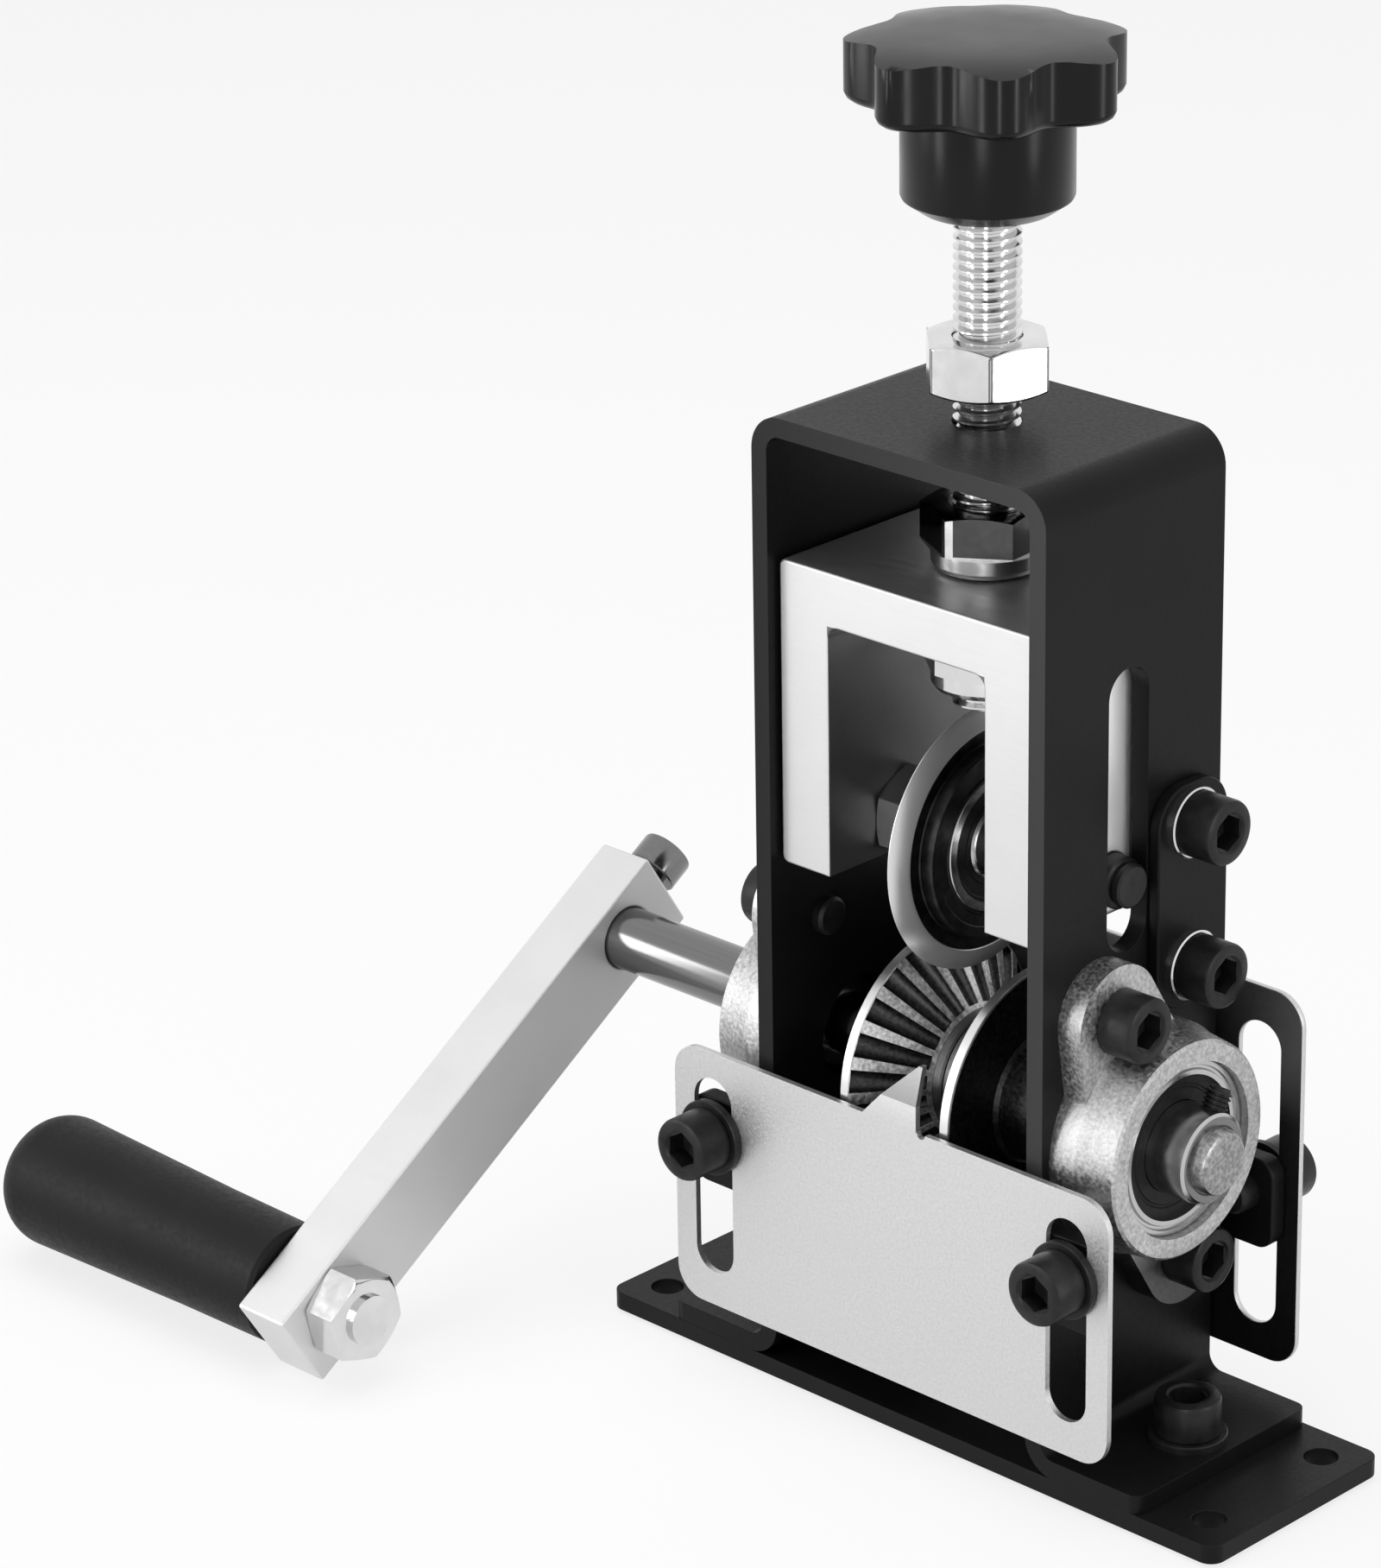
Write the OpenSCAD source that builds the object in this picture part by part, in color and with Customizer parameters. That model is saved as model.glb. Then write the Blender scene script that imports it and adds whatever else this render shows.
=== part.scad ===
// Hand crank wire stripper. Millimetres. X runs along the drive shaft with the crank at -X,
// -Y is the side the cable enters, +Z is up. The origin is the middle of the base's underside.

/* [Base] */
// length of the base plate along X
base_l = 123; // [100:0.5:160]
// depth of the base plate along Y
base_d = 39; // [30:0.5:60]
// thickness of the base plate
base_t = 3; // [2:0.5:8]
// corner radius of the base plate
base_corner_r = 2.5; // [1:0.5:6]
// diameter of the four mounting holes
mount_hole_d = 5.2; // [3:0.1:8]
// distance of a mounting hole from the base's end
mount_inset_x = 6.25; // [4:0.25:12]
// distance of a mounting hole from the base's long edge
mount_inset_y = 6.6; // [4:0.1:12]

/* [Frame] */
// outer width of the frame along X
frame_w = 56.6; // [45:0.1:80]
// height of the frame's top face above the base's underside
frame_top = 155.8; // [120:0.1:200]
// thickness of the frame strip
frame_t = 3; // [2:0.5:5]
// inside radius of the frame's bends
bend_r = 2.5; // [1:0.5:6]
// length of a foot beyond the leg's outer face
foot_l = 19.1; // [14:0.1:30]
// corner radius of a foot
foot_corner_r = 2; // [1:0.5:5]
// width of the slot in each leg
leg_slot_w = 8.7; // [6:0.1:14]
// height of the lower end of the leg's slot
leg_slot_bottom = 81.4; // [70:0.1:95]
// height of the upper end of the leg's slot
leg_slot_top = 125.4; // [100:0.1:145]
// offset of the slots along Y
leg_slot_y = -1.2; // [-5:0.1:5]

/* [Guide lugs] */
// thickness of a lug
lug_t = 3; // [2:0.5:5]
// length of a lug beyond the leg's outer face
lug_l = 12.7; // [10:0.1:18]
// lower edge of the lugs
lug_bottom = 30; // [20:0.5:36]
// upper edge of the lugs
lug_top = 44.5; // [40:0.5:50]
// corner radius of a lug's outer end
lug_corner_r = 3; // [1:0.5:6]
// how far the front lugs stand out in front of the frame
lug_front_out = 1.6; // [0:0.1:4]
// how far the rear lugs stand out behind the frame
lug_rear_out = 1.4; // [0:0.1:4]

/* [Guide plates] */
// how far both guide plates reach beyond the legs' outer faces
guide_side = 15.2; // [12:0.1:20]
// thickness of a guide plate
guide_t = 1; // [0.8:0.1:2]
// corner radius of a guide plate
guide_corner_r = 5; // [2:0.5:8]
// lower edge of the guide plates
guide_bottom = 10; // [6:0.5:20]
// upper edge of the front guide plate
front_guide_top = 52.6; // [45:0.1:56]
// upper edge of the rear guide plate
rear_guide_top = 70.8; // [60:0.1:80]
// distance of the plates' slots from the legs' outer faces
guide_slot_out = 7.2; // [6:0.1:10]
// width of the plates' slots
guide_slot_w = 7.8; // [6.6:0.1:9]
// lower end of the plates' slots
guide_slot_bottom = 15.6; // [12:0.1:20]
// upper end of the front plate's slots
front_slot_top = 48.3; // [44:0.1:52]
// upper end of the rear plate's slots
rear_slot_top = 65; // [55:0.1:70]
// height of the screws that hold the guide plates
guide_screw_z = 38.8; // [34:0.1:42]
// left end of the front tab's foot
tab_left = 4.9; // [2:0.1:8]
// right end of the front tab
tab_right = 6.1; // [3:0.1:9]
// height of the tab's upright part
tab_upright_h = 4.1; // [2:0.1:8]
// left end of the tab's crease
tab_crease_left = 0.8; // [0:0.1:4]
// length of the tab's leaning tip
tab_tip_h = 6.2; // [3:0.1:10]
// width of the tab's tip at its end
tab_tip_w = 0.8; // [0.4:0.1:3]
// set-back of the tip's straight side from the upright part's
tab_inset = 0.1; // [0.05:0.05:0.5]
// lean of the tab's tip towards the rollers, in degrees
tab_lean = 15; // [0:1:40]
// radius of the relief at the tab's foot
tab_relief_r = 0.8; // [0.4:0.1:1.5]

/* [Spindle] */
// diameter of the threaded spindle
spindle_d = 10; // [8:0.5:14]
// height of the spindle's lower end
spindle_bottom = 112.5; // [105:0.5:120]
// height of the spindle's upper end, inside the knob
spindle_top = 206; // [195:0.5:215]
// lower face of the lock nut
lock_nut_z = 160.8; // [157:0.1:170]
// height of the lock nut
lock_nut_h = 8; // [6:0.5:12]
// width across flats of the spindle's nuts
spindle_nut_af = 17; // [14:0.5:22]
// height of the six-sided part of a lock nut with insert
nylock_hex_h = 6.8; // [5:0.1:9]
// height of the round collar of a lock nut with insert
nylock_collar_h = 3.2; // [2:0.1:5]
// diameter of the collar of a lock nut with insert
nylock_collar_d = 16.4; // [14:0.1:17]
// diameter of the nylon insert
insert_d = 13.6; // [11:0.1:15]
// height of the nylon insert
insert_h = 2; // [1:0.1:3]

/* [Knob] */
// lower face of the knob's hub
knob_bottom = 187.4; // [180:0.1:200]
// height of the bevel under the knob's hub
knob_neck_h = 1.9; // [1:0.1:4]
// diameter of the hub's lower face
knob_neck_d = 19.8; // [16:0.1:24]
// height of the knob's hub above the bevel
knob_hub_h = 13.2; // [8:0.1:20]
// diameter of the hub
knob_hub_d = 25; // [20:0.5:32]
// height of the star
knob_star_h = 10.5; // [6:0.1:14]
// how far the star's top slopes down at the tips of its lobes
knob_star_drop = 1.3; // [0.5:0.1:3]
// diameter of the flat middle of the star's top
knob_crown_d = 31; // [24:0.5:36]
// diameter over the star's lobes
knob_star_d = 41; // [32:0.5:60]
// radius of the hollows between the lobes
knob_hollow_r = 6; // [3:0.1:9]
// distance of the hollows' centres from the axis
knob_hollow_at = 22.6; // [16:0.1:28]
// direction of the first lobe, in degrees
knob_lobe_angle = 9.5; // [0:0.1:51]

/* [Carrier] */
// gap between the carrier block and a leg
carrier_side_gap = 0.5; // [0.1:0.1:2]
// set-back of the carrier's front and back from the frame's
carrier_inset = 1.9; // [0:0.1:5]
// lower end of the carrier's arms
carrier_bottom = 85.7; // [82:0.1:95]
// upper face of the carrier
carrier_top = 133.6; // [125:0.1:140]
// half width of the carrier's hollow
carrier_hollow = 15.2; // [12:0.1:20]
// thickness of the carrier's crosspiece
carrier_cross_t = 8.4; // [6:0.1:12]
// radius in the hollow's upper corners
carrier_inner_r = 2; // [1:0.5:5]
// radius on the carrier's outer corners
carrier_outer_r = 1.5; // [0.5:0.5:4]

/* [Blade] */
// height of the blade's axle
axle_z = 91.7; // [88:0.1:110]
// offset of the blade's axle along Y
axle_y = -0.9; // [-5:0.1:5]
// diameter of the axle
axle_d = 8; // [6:0.5:10]
// diameter of the axle's noses
axle_nose_d = 6.7; // [5:0.1:8]
// how far the axle stands out of the legs
axle_nose_out = 0.9; // [-2:0.1:4]
// length of an axle nose
axle_nose_l = 1.8; // [1:0.1:5]
// radius of the cutting disc
blade_r = 20.5; // [16:0.1:26]
// half thickness of the cutting disc
blade_half_t = 1.5; // [1:0.1:3]
// width of the ground edge, along the radius
blade_bevel = 2.6; // [1:0.1:5]
// half width of the flat left at the cutting edge
blade_land = 0.05; // [0.02:0.01:0.3]
// radius of the disc's boss
blade_boss_r = 15; // [12:0.1:17]
// half width of the disc's boss and of its bearing
blade_boss_half = 3.5; // [2:0.1:5]
// outer radius of the blade's bearing
blade_bearing_r = 11; // [9:0.1:14]
// thickness of the bearing's outer ring, along the radius
blade_ring_t = 1.6; // [1:0.1:3]
// outer radius of the bearing's inner ring
blade_inner_r = 6; // [5:0.1:8]
// thickness of a bearing seal
seal_t = 0.5; // [0.3:0.1:1.5]
// depth of the seals below the ring's face
seal_inset = 0.3; // [0.1:0.1:1]
// width across flats of the axle's nuts
axle_nut_af = 13; // [10:0.5:16]
// height of the axle's nuts
axle_nut_h = 6.5; // [4:0.5:8]
// outer diameter of the axle's spacers
axle_spacer_d = 11; // [10:0.5:16]

/* [Drive] */
// height of the drive shaft
shaft_z = 52.7; // [45:0.1:65]
// diameter of the drive shaft
shaft_d = 10; // [8:0.5:14]
// how far the drive shaft stands out of the right leg
shaft_end_out = 18.2; // [14:0.1:26]
// radius of a roller's rim
roller_rim_r = 20.4; // [16:0.1:24]
// distance of the rim's inner edge from the middle
roller_rim_in = 8.3; // [5:0.1:12]
// distance of the rim's outer edge from the middle
roller_rim_out = 10.9; // [8:0.1:14]
// radius of the roller's collar at the middle
roller_small_r = 10; // [7:0.1:14]
// width of the roller's collar
roller_collar_w = 1.6; // [0.5:0.1:4]
// half gap between the two rollers
roller_half_gap = 0.1; // [0.05:0.05:0.5]
// depth of the teeth
tooth_depth = 1.8; // [0.8:0.1:2.5]
// width of a tooth
tooth_w = 1.8; // [1:0.1:2.4]
// number of teeth on a roller
tooth_count = 22; // [12:1:36]
// direction of the first tooth from upright, in degrees
tooth_angle = 8.9; // [0:0.1:18]
// diameter of a roller's hub
roller_hub_d = 20; // [16:0.5:26]
// outer end of a roller's hub
roller_hub_end = 17.4; // [14:0.1:22]
// diameter of a roller's set screw
roller_screw_d = 5; // [3:0.5:6]
// length of a roller's set screw
roller_screw_l = 4.6; // [3:0.1:5]

/* [Shaft bearings] */
// radius of a housing's flange
housing_r = 18; // [15:0.1:24]
// radius of a flange's lobe
housing_lobe_r = 8.5; // [6:0.1:11]
// half width of the flange's straight part at the middle
housing_waist_r = 13; // [10:0.1:16]
// half width of the flange's straight part at a lobe, as a share of the lobe's radius
lobe_share = 0.985; // [0.9:0.005:0.995]
// distance between the flange's two screws
housing_pitch = 45; // [38:0.5:55]
// lean of the flange's screws towards the front, in degrees
housing_lean = 20; // [0:1:45]
// thickness of the flange
flange_t = 4.3; // [3:0.1:8]
// height of the whole housing
housing_h = 11.3; // [8:0.1:18]
// radius of the housing at its face
housing_face_r = 16.7; // [14:0.1:20]
// radius of the housing's bore
housing_bore_r = 13.6; // [11:0.1:16]
// distance of the outer ring's face below the housing's face
ring_inset = 1.4; // [0.5:0.1:4]
// inner radius of the outer ring
outer_ring_in_r = 11.2; // [9:0.1:13]
// radius of the inner ring's collar
collar_r = 7; // [6:0.1:9]
// distance of the collar's outer end from the leg's outer face
collar_out = 16.2; // [12:0.1:22]
// radial gap between seal and collar
seal_gap = 0.1; // [0.05:0.05:0.5]
// thickness of the shaft bearing's seal
shaft_seal_t = 1.2; // [0.8:0.1:2]
// depth of the seal below the outer ring's face
shaft_seal_inset = 1; // [0.3:0.1:2]
// diameter of the collar's set screw
collar_screw_d = 4; // [3:0.5:6]
// outer end of the collar's set screw from the axis
collar_screw_end = 11.6; // [8:0.1:14]
// distance of the set screw from the collar's end
collar_screw_inset = 3; // [2:0.1:5]
// direction of the set screw from upright, in degrees
collar_screw_angle = 28; // [0:1:360]

/* [Crank] */
// distance of the crank arm from the left leg's outer face
arm_out = 47.1; // [40:0.1:60]
// thickness of the arm along X
arm_t = 10; // [6:0.5:16]
// width of the arm
arm_w = 15; // [10:0.5:20]
// length of the arm
arm_l = 96; // [70:1:140]
// distance of the shaft's hole from the arm's end
arm_hole_inset = 10.5; // [8:0.5:20]
// distance between the shaft and the grip's bolt
crank_r = 76; // [50:1:120]
// angle of the arm below the horizontal, in degrees
crank_angle = 32.6; // [0:0.1:90]
// width of the chamfer around the shaft's hole
arm_chamfer = 0.8; // [0.3:0.1:2]
// diameter of the grip's bolt
grip_bolt_d = 8; // [6:0.5:12]
// how far the bolt stands out of its nut
grip_bolt_out = 0.8; // [0.5:0.1:5]
// width across flats of the grip's nut
grip_nut_af = 13; // [10:0.5:18]
// height of the grip's nut
grip_nut_h = 6.5; // [4:0.5:10]
// length of the grip
grip_l = 61.5; // [45:0.5:100]
// radius of the grip beside the arm
grip_near_r = 9.6; // [8:0.1:14]
// radius of the grip at its far end
grip_far_r = 10.8; // [8:0.1:15]
// radius of the rounding at the grip's far end
grip_round_r = 7; // [3:0.5:9]
// depth of the pocket for the bolt's head
grip_pocket_h = 6.5; // [5:0.5:10]
// diameter of the pocket for the bolt's head
grip_pocket_d = 14; // [12:0.5:16]
// diameter of the bolt's head
grip_head_d = 13; // [10:0.5:15]
// height of the bolt's head
grip_head_h = 4.5; // [3:0.5:8]

/* [Side plate] */
// thickness of the side plate
side_plate_t = 2; // [1:0.5:4]
// width of the side plate along Y
side_plate_w = 15.5; // [10:0.1:18]
// set-back of the side plate's rear edge from the leg's
side_plate_inset = 0.5; // [0:0.1:2]
// lower edge of the side plate
side_plate_bottom = 69.6; // [65:0.1:80]
// upper edge of the side plate
side_plate_top = 104.7; // [95:0.1:115]
// corner radius of the side plate
side_plate_r = 6; // [2:0.5:7]
// distance between the side plate's screws
side_screw_pitch = 22.6; // [16:0.1:26]

/* [Screws] */
// diameter of the large socket screws
screw_d = 6; // [4:0.5:8]
// head diameter of the large socket screws
screw_head_d = 10; // [8:0.5:14]
// head height of the large socket screws
screw_head_h = 6; // [4:0.5:8]
// width across flats of the large sockets
screw_socket_af = 5; // [3:0.5:7]
// diameter of the clamp screw
clamp_d = 5; // [3:0.5:6]
// head diameter of the clamp screw
clamp_head_d = 8.5; // [6:0.5:10]
// head height of the clamp screw
clamp_head_h = 5; // [3:0.5:7]
// gap left under the clamp screw's head
clamp_gap = 1.5; // [0:0.1:4]
// width across flats of the clamp screw's socket
clamp_socket_af = 4; // [2:0.5:5]
// diameter of the large washers
washer_d = 12; // [10:0.5:16]
// thickness of the large washers
washer_t = 1.2; // [0.8:0.1:2]
// diameter of the side plate's thin washers
thin_washer_d = 10.8; // [10:0.1:14]
// thickness of the side plate's thin washers
thin_washer_t = 0.8; // [0.5:0.1:2]
// depth of a socket as a share of its head's height
socket_share = 0.55; // [0.3:0.05:0.8]
// distance of the foot screws from the legs' outer faces
foot_screw_out = 12; // [9:0.1:16]
// how far the bearing screws stand out inside the legs
bearing_screw_out = 1.8; // [0:0.1:3]
// how far the guide screws stand out behind their lugs
guide_screw_out = 3.6; // [0:0.1:6]
// how far a flush screw's end stays inside the metal
flush_inset = 0.2; // [0.1:0.1:1]
// size of the chamfers on nuts and screw heads
edge_chamfer = 0.6; // [0.2:0.1:1.5]

/* [Clearances] */
// radial running clearance of a turning fit
turn_gap = 0.08; // [0.02:0.01:0.2]
// end play between sliding or turning faces
face_gap = 0.1; // [0.05:0.05:0.5]
// gap between the grip and the arm
grip_gap = 0.3; // [0.1:0.1:1]

/* [Hidden] */
$fn = 48;
// how far a cut runs past the face it opens
over = base_t / 2;
frame_d = base_d;
frame_half = frame_w / 2;
leg_inside = frame_half - frame_t;
foot_end = frame_half + foot_l;
foot_screw_x = frame_half + foot_screw_out;
lug_end = frame_half + lug_l;
lug_front = frame_d / 2 + lug_front_out;
lug_rear = frame_d / 2 + lug_rear_out;
guide_half_w = frame_half + guide_side;
guide_slot_x = frame_half + guide_slot_out;
carrier_half_w = leg_inside - carrier_side_gap;
carrier_d = frame_d - 2 * carrier_inset;
axle_half_l = frame_half + axle_nose_out;
shaft_right = frame_half + shaft_end_out;
collar_end = frame_half + collar_out;
arm_face = frame_half + arm_out;
side_plate_rear = frame_d / 2 - side_plate_inset;
side_plate_front = side_plate_rear - side_plate_w;
foot_top = base_t + frame_t;
bend_out_r = bend_r + frame_t;
grip_bolt_z = shaft_z - crank_r * sin(crank_angle);
grip_bolt_y = -crank_r * cos(crank_angle);
arm_back = arm_face + arm_t;
grip_start = arm_back + grip_gap;
grip_end = grip_start + grip_l;
side_screw_y = (side_plate_front + side_plate_rear) / 2;
side_screw_mid = (side_plate_bottom + side_plate_top) / 2;
front_plate_front = lug_front + face_gap + guide_t;
rear_plate_rear = lug_rear + face_gap + guide_t;
housing_face = frame_half + housing_h;
ring_face = housing_face - ring_inset;
cone_angle = atan2(roller_rim_r - roller_small_r, roller_rim_in - roller_collar_w);
tooth_drop = tooth_depth / cos(cone_angle);

coat = [0.13, 0.13, 0.13];
plastic_black = [0.06, 0.06, 0.06];
chrome = [0.82, 0.82, 0.84];
satin_aluminium = [0.86, 0.86, 0.86];
sheet_steel = [0.74, 0.74, 0.74];
cast_zinc = [0.6, 0.6, 0.6];
black_oxide = [0.16, 0.16, 0.16];
nylon = [0.85, 0.85, 0.82];

// Turns a shape that stands on Z so that it points along +X.
module along_x() {
    rotate([0, 90, 0]) children();
}

// A plate with rounded upright corners, standing on z = 0.
module rounded_plate(length, depth, thickness, corner) {
    translate([-length / 2 + corner, -depth / 2, 0])
        cube([length - 2 * corner, depth, thickness]);
    translate([-length / 2, -depth / 2 + corner, 0])
        cube([length, depth - 2 * corner, thickness]);
    for (sx = [-1, 1], sy = [-1, 1])
        translate([sx * (length / 2 - corner), sy * (depth / 2 - corner), 0])
            cylinder(r = corner, h = thickness);
}

// A long hole along local X with round ends, cut through local Z from z = 0.
module slot_cut(length, width, depth) {
    translate([-(length - width) / 2, -width / 2, 0])
        cube([length - width, width, depth]);
    for (s = [-1, 1])
        translate([s * (length - width) / 2, 0, 0])
            cylinder(d = width, h = depth);
}

// A quarter of a bent strip in the first quadrant, extruded along Z.
module quarter_bend(inner, outer, depth) {
    intersection() {
        difference() {
            cylinder(r = outer, h = depth);
            translate([0, 0, -over])
                cylinder(r = inner, h = depth + 2 * over);
        }
        cube([outer, outer, depth]);
    }
}

// A socket head screw along Z: head above z = 0, shank below.
module socket_screw(diameter, head_d, head_h, socket_af, length) {
    difference() {
        rotate_extrude()
            polygon([
                [0, 0], [head_d / 2, 0], [head_d / 2, head_h - edge_chamfer],
                [head_d / 2 - edge_chamfer, head_h], [0, head_h]
            ]);
        translate([0, 0, head_h * (1 - socket_share)])
            cylinder(r = socket_af / sqrt(3), h = head_h, $fn = 6);
    }
    rotate_extrude()
        polygon([
            [0, 0], [diameter / 2, 0], [diameter / 2, -length + edge_chamfer],
            [diameter / 2 - edge_chamfer, -length], [0, -length]
        ]);
}

module large_screw(length) {
    socket_screw(screw_d, screw_head_d, screw_head_h, screw_socket_af, length);
}

// A washer standing on z = 0.
module washer(outer_d, bore_d, thickness) {
    difference() {
        cylinder(d = outer_d, h = thickness);
        translate([0, 0, -over])
            cylinder(d = bore_d, h = thickness + 2 * over);
    }
}

// A hexagonal nut standing on z = 0, with both rims chamfered.
module hex_nut(across_flats, height, bore_d) {
    corner_r = across_flats / sqrt(3);
    difference() {
        intersection() {
            cylinder(r = corner_r, h = height, $fn = 6);
            rotate_extrude()
                polygon([
                    [0, 0], [corner_r - edge_chamfer * 2, 0], [corner_r, edge_chamfer],
                    [corner_r, height - edge_chamfer], [corner_r - edge_chamfer * 2, height], [0, height]
                ]);
        }
        translate([0, 0, -over])
            cylinder(d = bore_d, h = height + 2 * over);
    }
}

// A ring about Z from z = 0.
module ring(outer_r, inner_r, height) {
    difference() {
        cylinder(r = outer_r, h = height);
        translate([0, 0, -over])
            cylinder(r = inner_r, h = height + 2 * over);
    }
}

// Places children at the four screws of the two shaft bearings, pointing outwards.
module at_bearing_screws() {
    for (side = [-1, 1], end = [-1, 1])
        translate([
            side * (frame_half + flange_t),
            -end * housing_pitch / 2 * sin(housing_lean),
            shaft_z + end * housing_pitch / 2 * cos(housing_lean)
        ])
            rotate([0, side * 90, 0]) children();
}

// Places children at the side plate's screws, pointing outwards.
module at_side_screws(distance) {
    for (s = [-1, 1])
        translate([frame_half + distance, side_screw_y, side_screw_mid + s * side_screw_pitch / 2])
            along_x() children();
}

// Places children in the crank's own frame: local X from the shaft along the arm, local Z along -X.
module crank_frame() {
    translate([-arm_face, 0, shaft_z])
        rotate([0, -90, 0])
            rotate([0, 0, -90 - crank_angle])
                children();
}

module base_plate() {
    color(coat)
        difference() {
            rounded_plate(base_l, base_d, base_t, base_corner_r);
            for (sx = [-1, 1], sy = [-1, 1])
                translate([
                    sx * (base_l / 2 - mount_inset_x), sy * (base_d / 2 - mount_inset_y), -over
                ])
                    cylinder(d = mount_hole_d, h = base_t + 2 * over);
            for (s = [-1, 1])
                translate([s * foot_screw_x, 0, flush_inset])
                    cylinder(d = screw_d, h = base_t + over);
        }
}

module frame_strip() {
    leg_low = foot_top + bend_r;
    leg_high = frame_top - bend_out_r;
    foot_start = frame_half + bend_r;
    translate([-frame_half + bend_out_r, -frame_d / 2, frame_top - frame_t])
        cube([frame_w - 2 * bend_out_r, frame_d, frame_t]);
    for (s = [0, 1])
        mirror([s, 0, 0]) {
            translate([leg_inside, -frame_d / 2, leg_low])
                cube([frame_t, frame_d, leg_high - leg_low]);
            translate([frame_half - bend_out_r, frame_d / 2, leg_high])
                rotate([90, 0, 0])
                    quarter_bend(bend_r, bend_out_r, frame_d);
            translate([foot_start, -frame_d / 2, leg_low])
                rotate([90, 180, 0])
                    translate([0, 0, -frame_d])
                        quarter_bend(bend_r, bend_out_r, frame_d);
            translate([foot_start, -frame_d / 2, base_t])
                cube([foot_end - foot_corner_r - foot_start, frame_d, frame_t]);
            translate([foot_end - 2 * foot_corner_r, -frame_d / 2 + foot_corner_r, base_t])
                cube([2 * foot_corner_r, frame_d - 2 * foot_corner_r, frame_t]);
            for (sy = [-1, 1])
                translate([foot_end - foot_corner_r, sy * (frame_d / 2 - foot_corner_r), base_t])
                    cylinder(r = foot_corner_r, h = frame_t);
        }
}

module frame() {
    color(coat)
        difference() {
            frame_strip();
            translate([0, 0, frame_top - frame_t - over])
                cylinder(r = spindle_d / 2 + turn_gap, h = frame_t + 2 * over);
            translate([-frame_half - over, leg_slot_y, (leg_slot_bottom + leg_slot_top) / 2])
                along_x()
                    slot_cut(leg_slot_top - leg_slot_bottom, leg_slot_w, frame_w + 2 * over);
            translate([-frame_half - over, 0, shaft_z])
                along_x()
                    cylinder(r = collar_r + frame_t / 2, h = frame_w + 2 * over);
            at_bearing_screws()
                translate([0, 0, -flange_t - frame_t - over])
                    cylinder(d = screw_d, h = frame_t + 2 * over);
            at_side_screws(-frame_t + flush_inset)
                cylinder(d = screw_d, h = frame_t + over);
            for (s = [-1, 1])
                translate([s * foot_screw_x, 0, base_t - over])
                    cylinder(d = screw_d, h = frame_t + 2 * over);
        }
}

module lug(front_y) {
    difference() {
        union() {
            translate([frame_half, front_y, lug_bottom])
                cube([lug_end - lug_corner_r - frame_half, lug_t, lug_top - lug_bottom]);
            translate([lug_end - 2 * lug_corner_r, front_y, lug_bottom + lug_corner_r])
                cube([2 * lug_corner_r, lug_t, lug_top - lug_bottom - 2 * lug_corner_r]);
            for (z = [lug_bottom + lug_corner_r, lug_top - lug_corner_r])
                translate([lug_end - lug_corner_r, front_y + lug_t, z])
                    rotate([90, 0, 0])
                        cylinder(r = lug_corner_r, h = lug_t);
        }
        translate([guide_slot_x, front_y + lug_t + over, guide_screw_z])
            rotate([90, 0, 0])
                cylinder(d = screw_d, h = lug_t + 2 * over);
    }
}

module guide_lugs() {
    color(coat)
        for (s = [0, 1])
            mirror([s, 0, 0]) {
                lug(-lug_front);
                lug(lug_rear - lug_t);
            }
}

module foot_screws() {
    color(black_oxide)
        for (s = [-1, 1])
            translate([s * foot_screw_x, 0, foot_top + washer_t])
                large_screw(foot_top + washer_t - flush_inset);
}

module foot_washers() {
    color(black_oxide)
        for (s = [-1, 1])
            translate([s * foot_screw_x, 0, foot_top])
                washer(washer_d, screw_d, washer_t);
}

module star_knob() {
    neck_top = knob_bottom + knob_neck_h;
    hub_top = neck_top + knob_hub_h;
    color(plastic_black)
        difference() {
            union() {
                translate([0, 0, knob_bottom])
                    cylinder(d1 = knob_neck_d, d2 = knob_hub_d, h = knob_neck_h);
                translate([0, 0, neck_top])
                    cylinder(d = knob_hub_d, h = knob_hub_h);
                difference() {
                    translate([0, 0, hub_top]) {
                        cylinder(d = knob_star_d, h = knob_star_h - knob_star_drop);
                        translate([0, 0, knob_star_h - knob_star_drop])
                            cylinder(d1 = knob_star_d, d2 = knob_crown_d, h = knob_star_drop);
                    }
                    for (i = [0:6])
                        rotate([0, 0, knob_lobe_angle + (i + 0.5) * 360 / 7])
                            translate([knob_hollow_at, 0, hub_top - over])
                                cylinder(r = knob_hollow_r, h = knob_star_h + 2 * over);
                }
            }
            translate([0, 0, knob_bottom - over])
                cylinder(d = spindle_d, h = spindle_top - knob_bottom + over);
        }
}

module threaded_spindle() {
    color(chrome)
        translate([0, 0, spindle_bottom])
            cylinder(d = spindle_d, h = spindle_top - spindle_bottom);
}

module lock_nut() {
    color(chrome)
        translate([0, 0, lock_nut_z])
            rotate([0, 0, -45])
                hex_nut(spindle_nut_af, lock_nut_h, spindle_d + 2 * turn_gap);
}

// A lock nut whose collar with the insert faces down, standing on z = 0.
module nylock() {
    difference() {
        union() {
            translate([0, 0, nylock_collar_h])
                hex_nut(spindle_nut_af, nylock_hex_h, spindle_d);
            cylinder(d = nylock_collar_d, h = nylock_collar_h);
        }
        translate([0, 0, -over])
            cylinder(d = insert_d, h = insert_h + over);
        cylinder(d = spindle_d, h = nylock_collar_h + nylock_hex_h);
    }
}

upper_nylock_z = carrier_top + face_gap;
lower_nylock_z = carrier_top - carrier_cross_t - face_gap - nylock_collar_h - nylock_hex_h;

module upper_nylock() {
    color(chrome)
        translate([0, 0, upper_nylock_z])
            rotate([0, 0, -26])
                nylock();
}

module lower_nylock() {
    color(chrome)
        translate([0, 0, lower_nylock_z])
            rotate([0, 0, -38])
                nylock();
}

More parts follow.
